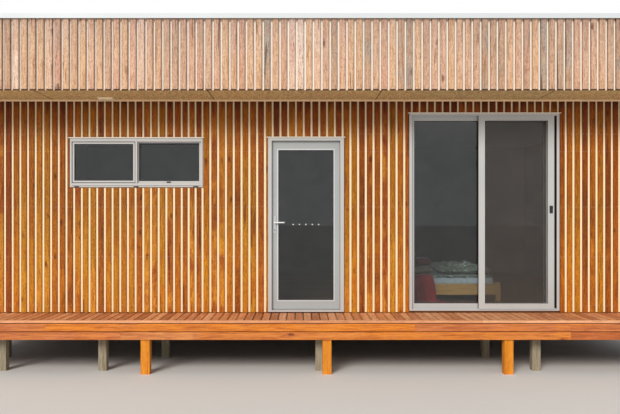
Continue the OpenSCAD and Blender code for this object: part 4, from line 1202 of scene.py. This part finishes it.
def pane_edges(node):
    """The visible edges of a pane, its outer face and its inner face, at the front."""
    low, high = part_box(node)
    edges = (low.x + GLASS_BITE, high.x - GLASS_BITE, low.z + GLASS_BITE, high.z - GLASS_BITE)
    return edges, -low.y, -high.y


def window_panes():
    """Each pane of the front window and of the single windows: side, edges and outer face."""
    low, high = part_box("window_frame")
    rail = RAIL_FACE + SASH_FACE
    jamb = JAMB_FACE + SASH_FACE
    middle = (low.x + high.x) / 2
    post = JAMB_FACE / 2 + SASH_FACE
    upright = (low.z + rail, high.z - rail)
    fixed_out = WALL_OUT - FIXED_LIGHT_IN - GLASS_IN
    sash_out = WALL_OUT - SASH_IN - GLASS_IN
    panes = [("front", (low.x + jamb, middle - post, *upright), fixed_out),
             ("front", (middle + post, high.x - jamb, *upright), sash_out)]
    vent = VENT_HALF - OPENING_GAP - jamb
    for side, out, centre in (("back", sash_out, -BACK_VENT), ("back", sash_out, BACK_VENT),
                              ("left", sash_out + END_OUT - WALL_OUT, 0.0),
                              ("right", sash_out + END_OUT - WALL_OUT, 0.0)):
        panes.append((side, (centre - vent, centre + vent, *upright), out))
    return panes


def add_flat_ring(made, side, outer, inner, out, thick):
    """A flat ring between two rectangles, its back out metres from the middle of the house."""
    put = SIDES[side][1]
    corners = []
    for column, row in ((0, 2), (1, 2), (1, 3), (0, 3)):
        corner = []
        for edges, far in ((outer, out), (inner, out), (inner, out + thick), (outer, out + thick)):
            x, y = put(edges[column], far)
            corner.append((x, y, edges[row]))
        corners.append(corner)
    add_ring(made, corners)


def grown(edges, left, right, bottom, top):
    """A rectangle made larger on each side."""
    return (edges[0] - left, edges[1] + right, edges[2] - bottom, edges[3] + top)


def rubber_section(out, way):
    """A thin wedge of rubber against the glass, outside it or, with way -1, inside it."""
    return [(0.0, out), (0.0075, out), (0.0065, out + way * 0.0026), (0.0, out + way * 0.0034)]


def add_rubbers(made, side, edges, outer, inner):
    """The rubbers on the outer and inner face of one pane."""
    add_pane_ring(made, side, edges, rubber_section(outer + 0.0001, 1))
    add_pane_ring(made, side, edges, rubber_section(inner - 0.0001, -1))


def fit_light_seals():
    """Gaskets round the front window's lights: a dark ring round the fixed light and a black ring on
    the face of the opening one, drawn wide as painted shade in the gaps round them.
    """
    fixed, opening_light = window_panes()[:2]
    made = bmesh.new()
    outline = grown(fixed[1], *[SASH_FACE] * 4)
    add_flat_ring(made, "front", outline, grown(outline, *[-0.0075] * 4),
                  WALL_OUT - FIXED_LIGHT_IN + CLEAR, 0.0012)
    add_flat_ring(made, "front", grown(opening_light[1], 0.015, 0.003, 0.003, 0.012),
                  grown(opening_light[1], *[-0.0005] * 4), WALL_OUT - SASH_IN + CLEAR, 0.0016)
    finished("window_light_seals", made, RUBBER, "house")


def fit_rubbers():
    """Black glazing rubber round every pane, on both faces."""
    made = bmesh.new()
    for side, edges, out in window_panes():
        add_rubbers(made, side, edges, out, out - GLASS_T)
    add_rubbers(made, "front", *pane_edges("slider_fixed_glass"))
    finished("glazing_rubbers", made, RUBBER, "house")
    for node, name, body in (("door_glass", "door_rubbers", "hinged_door"),
                             ("slider_leaf_glass", "sliding_door_rubbers", "sliding_door")):
        made = bmesh.new()
        add_rubbers(made, "front", *pane_edges(node))
        finished(name, made, RUBBER, body)


def fit_door_beads():
    """Glazing beads on the outer face of the hinged door, clipped round its glass."""
    edges = pane_edges("door_glass")[0]
    made = bmesh.new()
    front = WALL_OUT - DOOR_LEAF_IN
    section = [(-0.015, 0.0001), (-0.014, 0.003), (-0.002, 0.0042), (0.001, 0.003), (0.001, 0.0001)]
    add_pane_ring(made, "front", edges, [(inset, front + out) for inset, out in section])
    finished("door_glazing_beads", made, BEAD_METAL, "hinged_door")


def fit_seals():
    """The dark seals in the frame against which the hinged door closes, also painted shade in the
    groove round the recessed leaf.
    """
    low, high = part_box("door_frame")
    leaf = -WALL_OUT + DOOR_LEAF_IN
    front, back = leaf - 0.008, leaf - 0.0006
    foot = high.z - SEAL_LONG
    left, right, top = low.x + DOOR_FACE, high.x - DOOR_FACE, high.z - DOOR_FACE
    fit_boxes("door_seals", [
        ((left + 0.0001, front, foot), (left + 0.003, back, top - 0.0001), 0.0005),
        ((right - 0.003, front, foot), (right - 0.0001, back, top - 0.0001), 0.0005),
        ((left + 0.0032, front, top - 0.003), (right - 0.0032, back, top - 0.0001), 0.0005),
    ], RUBBER)


def fit_window_fittings():
    """Weep covers, a dark strip along the sill's lip as a painted shadow line, and the catch of the
    opening light.
    """
    low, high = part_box("window_frame")
    middle = (low.x + high.x) / 2
    covers = [((x - 0.03, low.y - 0.005, low.z + 0.0015),
               (x + 0.03, low.y - CLEAR, low.z + 0.0115), 0.0018)
              for x in (middle - WEEP_AWAY, middle, middle + WEEP_AWAY)]
    lip = low.z + SILL_LIP
    sill_shadow_line = ((low.x + 0.023, -WALL_OUT - 0.0014, lip),
             (high.x - 0.023, -WALL_OUT - CLEAR, lip + 0.003), 0.0004)
    fit_boxes("weep_covers", covers + [sill_shadow_line], BLACK_PLASTIC)
    x = middle + CATCH_AWAY
    foot = low.z + RAIL_FACE
    face = -WALL_OUT + SASH_IN
    fit_boxes("window_catch", [
        ((x - 0.024, face - 0.012, foot + 0.001), (x + 0.024, face - CLEAR, foot + 0.019), 0.003),
        ((x - 0.009, face - 0.02, foot + 0.004), (x + 0.009, face - 0.0118, foot + 0.013), 0.002),
    ], BLACK_PLASTIC)


def fit_keeper():
    """The keeper on the closing jamb that the screen latch hooks into."""
    low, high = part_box("screen_latch")
    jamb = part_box("slider_frame")[1].x - SLIDER_JAMB
    z = (low.z + high.z) / 2
    fit_boxes("latch_keeper", [
        ((jamb - 0.006, -WALL_OUT + 0.012, z - 0.045),
         (jamb - CLEAR, -WALL_OUT + 0.034, z + 0.045), 0.001),
    ], BLACK_PLASTIC)


def fit_slider_seals():
    """Black seals of the sliding doors, in the closing jamb, on the fixed sash and on the screen,
    also painted shade in the gaps beside the doors, and a dark strip of painted shade on the leaf's
    closing stile.
    """
    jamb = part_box("slider_frame")[1].x - SLIDER_JAMB
    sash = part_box("slider_fixed_sash")[0]
    leaf_low, leaf_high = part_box("slider_leaf")
    foot, top = leaf_low.z + 0.012, leaf_high.z - 0.012
    fit_boxes("sliding_door_seals", [
        ((jamb - 0.0026, -WALL_OUT + 0.008, foot), (jamb - CLEAR, leaf_high.y, top), 0.0005),
        ((sash.x + 0.0006, sash.y - 0.0032, foot), (sash.x + 0.0054, sash.y - CLEAR, top), 0.0005),
    ], RUBBER)
    low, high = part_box("screen_door")
    fit_boxes("screen_edge_seal", [
        ((low.x - 0.0050, low.y + 0.002, foot), (low.x - CLEAR, high.y - 0.002, top), 0.0005),
    ], RUBBER, "screen_door")
    # A dark strip beside the leaf's glass: painted shade on its closing stile behind the screen
    edge = pane_edges("slider_leaf_glass")[0][1]
    fit_boxes("closing_stile_shade_strip", [
        ((edge + 0.0008, leaf_low.y - 0.0016, foot + 0.06),
         (edge + 0.0230, leaf_low.y - CLEAR, top - 0.06), 0.0004),
    ], RUBBER, "sliding_door")


def add_disc(made, middle, behind, before, thick):
    """A thin round disc that faces the front, with one radius behind and another before."""
    disc = bmesh.ops.create_cone(made, cap_ends=True, segments=24, radius1=behind, radius2=before,
                                 depth=thick)["verts"]
    x, y, z = middle
    for corner in disc:
        corner.co = (x + corner.co.x, y - corner.co.z, z + corner.co.y)


def mark_door_glass():
    """Five plain white spots across the door glass, so that it is seen."""
    low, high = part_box("door_glass")
    middle = (low.x + high.x) / 2
    made = bmesh.new()
    for k in range(-2, 3):
        add_disc(made, (middle + k * SPOT_PITCH, low.y - 0.0004, SPOT_Z), SPOT_RADIUS * 0.97,
                 SPOT_RADIUS, 0.0004)
    finished("door_glass_marks", made, GLASS_MARK, "hinged_door")


def fit_keyway():
    """The dark plug of the lock under the outer lever."""
    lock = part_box("door_handle")[1].z - LEVER_DROP - LOCK_DROP
    face = -WALL_OUT + LOCK_FACE_IN - 0.0008
    made = bmesh.new()
    add_disc(made, (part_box("door_leaf")[0].x + BACKSET, face, lock), 0.0074, 0.0068, 0.0012)
    finished("lock_plug", made, BLACK_PLASTIC, "hinged_door")


def shade_soffit_joints():
    """Dark strips along the joints between the soffit boards, from the parapet in to the wall:
    painted shadow of the gaps.
    """
    low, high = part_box("soffit")
    wall = WALL_OUT + SOFFIT_JOINT_OFF
    joints = [((x - SOFFIT_JOINT_W / 2, y0, low.z - 0.0010),
               (x + SOFFIT_JOINT_W / 2, y1, low.z - 0.0001), 0.0003)
              for x in SOFFIT_JOINTS
              for y0, y1 in ((low.y + 0.001, -wall), (wall, high.y - 0.001))]
    fit_boxes("soffit_joints", joints, SOFFIT_JOINT_SHADE)


def run_bead():
    """The rounded bead where the wall boards meet the soffit, mitred round the house."""
    low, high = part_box("front_cladding")
    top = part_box("soffit")[0].z - 0.0003
    section = [(0.0003, top), (0.013, top), (0.0145, top - 0.004), (0.0145, top - 0.014),
               (0.012, top - 0.019), (0.0003, top - 0.021)]
    corners = [[(sx * (high.x + out), sy * (-low.y + out), z) for out, z in section]
               for sx, sy in ((-1, -1), (1, -1), (1, 1), (-1, 1))]
    made = bmesh.new()
    add_ring(made, corners)
    finished("soffit_bead", made, BEAD_PAINT, "house")


# Bedding

def settle(piece, pressure, most, floor=None):
    """Swells closed cloth with air, then holds each point near where it began."""
    mesh = piece.data
    began = [corner.co.copy() for corner in mesh.vertices]
    scene = bpy.context.scene
    cloth_part = piece.modifiers.new("swell", "CLOTH")
    cloth_part.settings.use_pressure = True
    cloth_part.settings.uniform_pressure_force = pressure
    cloth_part.settings.effector_weights.gravity = 0.0
    cloth_part.point_cache.frame_start = 1
    cloth_part.point_cache.frame_end = 20
    for number in range(1, 21):
        scene.frame_set(number)
    graph = bpy.context.evaluated_depsgraph_get()
    swollen = [corner.co.copy() for corner in piece.evaluated_get(graph).data.vertices]
    piece.modifiers.remove(cloth_part)
    scene.frame_set(1)
    for corner, start, end in zip(mesh.vertices, began, swollen):
        move = end - start
        if move.length > most:
            move *= most / move.length
        corner.co = start + move
        if floor is not None:
            corner.co.z = max(corner.co.z, floor)


def pulled_in(half, u, v, pull):
    """Where a place on a pad lies, from -1 to 1 each way, when its sides pull in."""
    return (half.x * u * (1 - pull * u * u * (1 - v * v)),
            half.y * v * (1 - pull * v * v * (1 - u * u)))


def cushion_mesh(name, low, high, steps, pull, power):
    """A crowned pad: two sheets sewn at the edge, whose sides pull in between the corners."""
    made = bmesh.new()
    middle = (Vector(low) + Vector(high)) / 2
    half = (Vector(high) - Vector(low)) / 2
    rows = {}
    for face in (1, -1):
        for i in range(steps + 1):
            for j in range(steps + 1):
                u, v = 2 * i / steps - 1, 2 * j / steps - 1
                edge = i in (0, steps) or j in (0, steps)
                if edge and face < 0:
                    rows[face, i, j] = rows[1, i, j]
                    continue
                x, y = pulled_in(half, u, v, pull)
                rise = ((1 - abs(u) ** power) * (1 - abs(v) ** power)) ** (1 / power)
                rows[face, i, j] = made.verts.new(middle + Vector((x, y, face * half.z * rise)))
        for i in range(steps):
            for j in range(steps):
                made.faces.new([rows[face, i, j], rows[face, i + 1, j], rows[face, i + 1, j + 1],
                                rows[face, i, j + 1]])
    bmesh.ops.recalc_face_normals(made, faces=made.faces)
    mesh = bpy.data.meshes.new(name)
    made.to_mesh(mesh)
    made.free()
    return mesh


def piping(name, low, high, pull, level, thick, material):
    """Piping sewn round the edge of a pad, at one level."""
    curve = bpy.data.curves.new(name, "CURVE")
    curve.dimensions = "3D"
    curve.bevel_depth = thick
    curve.bevel_resolution = 2
    spline = curve.splines.new("POLY")
    middle = (Vector(low) + Vector(high)) / 2
    half = (Vector(high) - Vector(low)) / 2
    points = []
    corners = [(-1, -1), (1, -1), (1, 1), (-1, 1)]
    for start, end in zip(corners, corners[1:] + corners[:1]):
        for k in range(PIPING_STEPS):
            u, v = [a + (b - a) * k / PIPING_STEPS for a, b in zip(start, end)]
            x, y = pulled_in(half, u, v, pull)
            points.append((middle.x + x, middle.y + y, level))
    spline.points.add(len(points) - 1)
    for point, place in zip(spline.points, points):
        point.co = (*place, 1.0)
    spline.use_cyclic_u = True
    mesh = plain_mesh(linked(name + "_line", curve))
    mesh.materials.clear()
    mesh.materials.append(material)
    keep(name, mesh, "house")


def smooth(piece):
    """Rounds the mesh by one subdivision and shades it smooth."""
    finer = piece.modifiers.new("finer", "SUBSURF")
    finer.levels = 1
    finer.render_levels = 1
    piece.data.polygons.foreach_set("use_smooth", [True] * len(piece.data.polygons))


def sew_cushion(name, low, high, material, replaced=(), rumpled=0.0):
    """A stuffed cushion or quilt with piping at its seam, and soft hollows where it is rumpled."""
    inset = 0.010
    inner_low = [edge + inset for edge in low]
    inner_high = [edge - inset for edge in high]
    level = (low[2] + high[2]) / 2
    mesh = cushion_mesh(name, inner_low, inner_high, CUSHION_STEPS, CUSHION_PULL, CUSHION_POWER)
    mesh.materials.append(material)
    piece = keep(name, mesh, "house", replaced)
    settle(piece, 4.0, 0.012, low[2] + 0.0005)
    for corner in mesh.vertices:
        share = min(1.0, max(0.0, (corner.co.z - level) / 0.03))
        corner.co.z += rumpled * share * noise.noise(corner.co * 12.0)
    smooth(piece)
    piping(name + "_piping", inner_low, inner_high, CUSHION_PULL, level, 0.0035, material)


def make_mattress():
    """A stuffed mattress with rounded edges and piping round its top and bottom seams."""
    low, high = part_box("mattress")
    inset = 0.008
    inner_low = low + Vector((inset, inset, 0.0005))
    inner_high = high - Vector((inset, inset, inset))
    mesh = bpy.data.meshes.new("bed_mattress")
    made = bmesh.new()
    add_box(made, inner_low, inner_high, 0.028)
    made.to_mesh(mesh)
    made.free()
    mesh.materials.append(QUILT_CLOTH)
    block = linked("mattress_block", mesh)
    remesh = block.modifiers.new("even", "REMESH")
    remesh.mode = "VOXEL"
    remesh.voxel_size = 0.018
    piece = keep("bed_mattress", plain_mesh(block), "house", ["mattress"])
    settle(piece, 3.0, 0.006, low.z + 0.0005)
    smooth(piece)
    for name, z in (("mattress_lower_piping", low.z + 0.02),
                    ("mattress_upper_piping", inner_high.z - 0.02)):
        piping(name, inner_low, inner_high, 0.0, z, 0.003, QUILT_CLOTH)


def hang_throw():
    """A folded throw that lies on the bed, hangs over its foot in folds and spills on the floor.

    Its path is a list of places along Y and heights, from its end on the bed to its end below.
    """
    low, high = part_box("throw")
    left = low.x + 0.004
    bed_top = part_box("mattress")[1].z + 0.004
    edge_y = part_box("mattress")[0].y
    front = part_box("bed_frame")[0].y - 0.010
    floor = low.z + 0.003
    path = [(high.y, bed_top), (edge_y + 0.05, bed_top), (edge_y + 0.005, bed_top - 0.004),
            (edge_y - 0.03, bed_top - 0.03), (front, bed_top - 0.085), (front - 0.004, floor + 0.10),
            (front - 0.012, floor + 0.03), (front - 0.035, floor + 0.006), (front - 0.07, floor),
            (low.y + 0.004, floor)]
    run = [0.0]
    for (y0, z0), (y1, z1) in zip(path, path[1:]):
        run.append(run[-1] + math.hypot(y1 - y0, z1 - z0))

    def at(s):
        """Place and outward direction at a length along the path."""
        k = next((k for k in range(1, len(run)) if s <= run[k]), len(run) - 1)
        share = (s - run[k - 1]) / (run[k] - run[k - 1])
        (y0, z0), (y1, z1) = path[k - 1], path[k]
        away = Vector((0.0, z1 - z0, y0 - y1)).normalized()
        return y0 + (y1 - y0) * share, z0 + (z1 - z0) * share, away

    across, along = THROW_STEPS
    made = bmesh.new()
    rows = []
    for j in range(along + 1):
        s = run[-1] * j / along
        near = [at(max(0.0, min(run[-1], s + k * 0.006))) for k in range(-3, 4)]
        y = sum(p[0] for p in near) / 7
        z = sum(p[1] for p in near) / 7
        away = sum((p[2] for p in near), Vector()).normalized()
        hung = min(1.0, max(0.0, (s - run[2]) / 0.25))
        spread = min(1.0, max(0.0, (s - run[5]) / 0.28))
        right = high.x - 0.030 + 0.030 * hung + 0.15 * spread * spread
        deep = 0.003 + 0.014 * hung * (1 - 0.6 * spread)
        row = []
        for i in range(across + 1):
            t = i / across
            x = left + (right - left) * t
            folds = 3.5 * t + 0.25 * math.sin(3.1 * s) + 0.12 * math.sin(9.0 * s + 4 * t)
            wave = 2 * math.pi * folds
            lift = deep * (1 + math.sin(wave)) * (0.75 + 0.25 * math.sin(7 * t + 2))
            lift += 0.0015 * (1 + math.sin(31 * s + 9 * t))
            row.append(made.verts.new(Vector((x, y, z)) + away * lift))
        rows.append(row)
    for here, there in zip(rows, rows[1:]):
        for i in range(across):
            made.faces.new((here[i], here[i + 1], there[i + 1], there[i]))
    piece = finished("bed_throw", made, RED_CLOTH, "house", ["throw"])
    thick = piece.modifiers.new("thick", "SOLIDIFY")
    thick.thickness = 0.003
    thick.offset = 0.0
    smooth(piece)


def make_cushions():
    """The larger beige cushion with the smaller red one on it."""
    low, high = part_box("cushions")
    split = low.z + 0.090
    top = high.z - 0.028
    small = (low.x + 0.035, low.y + 0.020)
    sew_cushion("beige_cushion", (low.x, low.y, low.z), (high.x - 0.03, high.y, split), BEIGE_CLOTH,
                ["cushions"])
    sew_cushion("red_cushion", (small[0], small[1], split - 0.002),
                (small[0] + 0.280, small[1] + 0.300, top), CUSHION_CLOTH)


def spread_quilt():
    """The rumpled quilt on the bed, right of the cushions."""
    low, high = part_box("mattress")
    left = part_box("cushions")[1].x + 0.022
    sew_cushion("bed_quilt", (left, low.y + 0.03, high.z + 0.001),
                (high.x + 0.01, high.y - 0.50, high.z + 0.105), QUILT_CLOTH,
                rumpled=0.060)


finish_cad_nodes()
BOARDS = board_tree()
STUDS = stud_tree()
clad_walls(BOARDS, STUDS)
clad_parapet(BOARDS, STUDS)
lay_deck(BOARDS, STUDS)
trim_deck(BOARDS)
lay_floor(BOARDS)
stretch_screen()
fit_rubbers()
fit_light_seals()
fit_door_beads()
fit_seals()
fit_window_fittings()
fit_keeper()
fit_slider_seals()
mark_door_glass()
fit_keyway()
shade_soffit_joints()
run_bead()
make_mattress()
make_cushions()
spread_quilt()
hang_throw()


# Camera, light and floor

# The photograph's frame and the point straight ahead of its lens, in pixels, and where the lens is
FRAME_SIZE = (620, 414)
STRAIGHT_AHEAD = (300, 218)
LENS_PLACE = (-0.12, -11.1, 1.755)


def set_camera():
    """A level camera square to the front of the house, as the photograph was taken."""
    data = bpy.data.cameras.new("front_camera")
    data.lens = 39.52
    data.sensor_width = 36.0
    data.shift_x = (FRAME_SIZE[0] / 2 - STRAIGHT_AHEAD[0]) / FRAME_SIZE[0]
    data.shift_y = (STRAIGHT_AHEAD[1] - FRAME_SIZE[1] / 2) / FRAME_SIZE[0]
    data.clip_end = 400.0
    camera = linked("front_camera", data)
    camera.location = LENS_PLACE
    camera.rotation_euler = (QUARTER, 0.0, 0.0)
    bpy.context.scene.camera = camera


def set_light():
    """A broad low sun in front of the house and an even pale surround."""
    data = bpy.data.lights.new("sun", "SUN")
    data.energy = 2.4
    data.angle = math.radians(24)
    data.color = (1.0, 0.97, 0.92)
    towards = Vector((0.42, 1.0, -0.62))
    linked("sun", data).rotation_euler = towards.to_track_quat("-Z", "Y").to_euler()
    world = bpy.data.worlds.new("surround")
    bpy.context.scene.world = world
    world.use_nodes = True
    world.node_tree.nodes.clear()
    tree = Tree(world.node_tree)
    ray = tree.add("ShaderNodeLightPath").outputs
    seen = tree.math("MAXIMUM", ray["Is Camera Ray"],
                     tree.math("MAXIMUM", ray["Is Glossy Ray"], ray["Is Transmission Ray"]))
    light = tree.add("ShaderNodeBackground", {0: (0.97, 0.98, 1.0, 1.0), 1: 0.5})
    white = tree.add("ShaderNodeBackground", {0: (1.0, 1.0, 1.0, 1.0), 1: 1.0})
    mix = tree.add("ShaderNodeMixShader", {0: seen, 1: light.outputs[0], 2: white.outputs[0]})
    tree.links.new(mix.outputs[0], tree.add("ShaderNodeOutputWorld").inputs[0])


def set_floor():
    """A plain pale floor, wide enough to reach the horizon from any side."""
    mesh = bpy.data.meshes.new("studio_floor")
    side = 150.0
    corners = [(-side, -side, 0.0), (side, -side, 0.0), (side, side, 0.0), (-side, side, 0.0)]
    mesh.from_pydata(corners, [], [(0, 1, 2, 3)])
    mesh.materials.append(painted("studio_floor", paint(226, 225, 222), paint(222, 221, 218), 0.9))
    linked("studio_floor", mesh)


set_camera()
set_light()
set_floor()
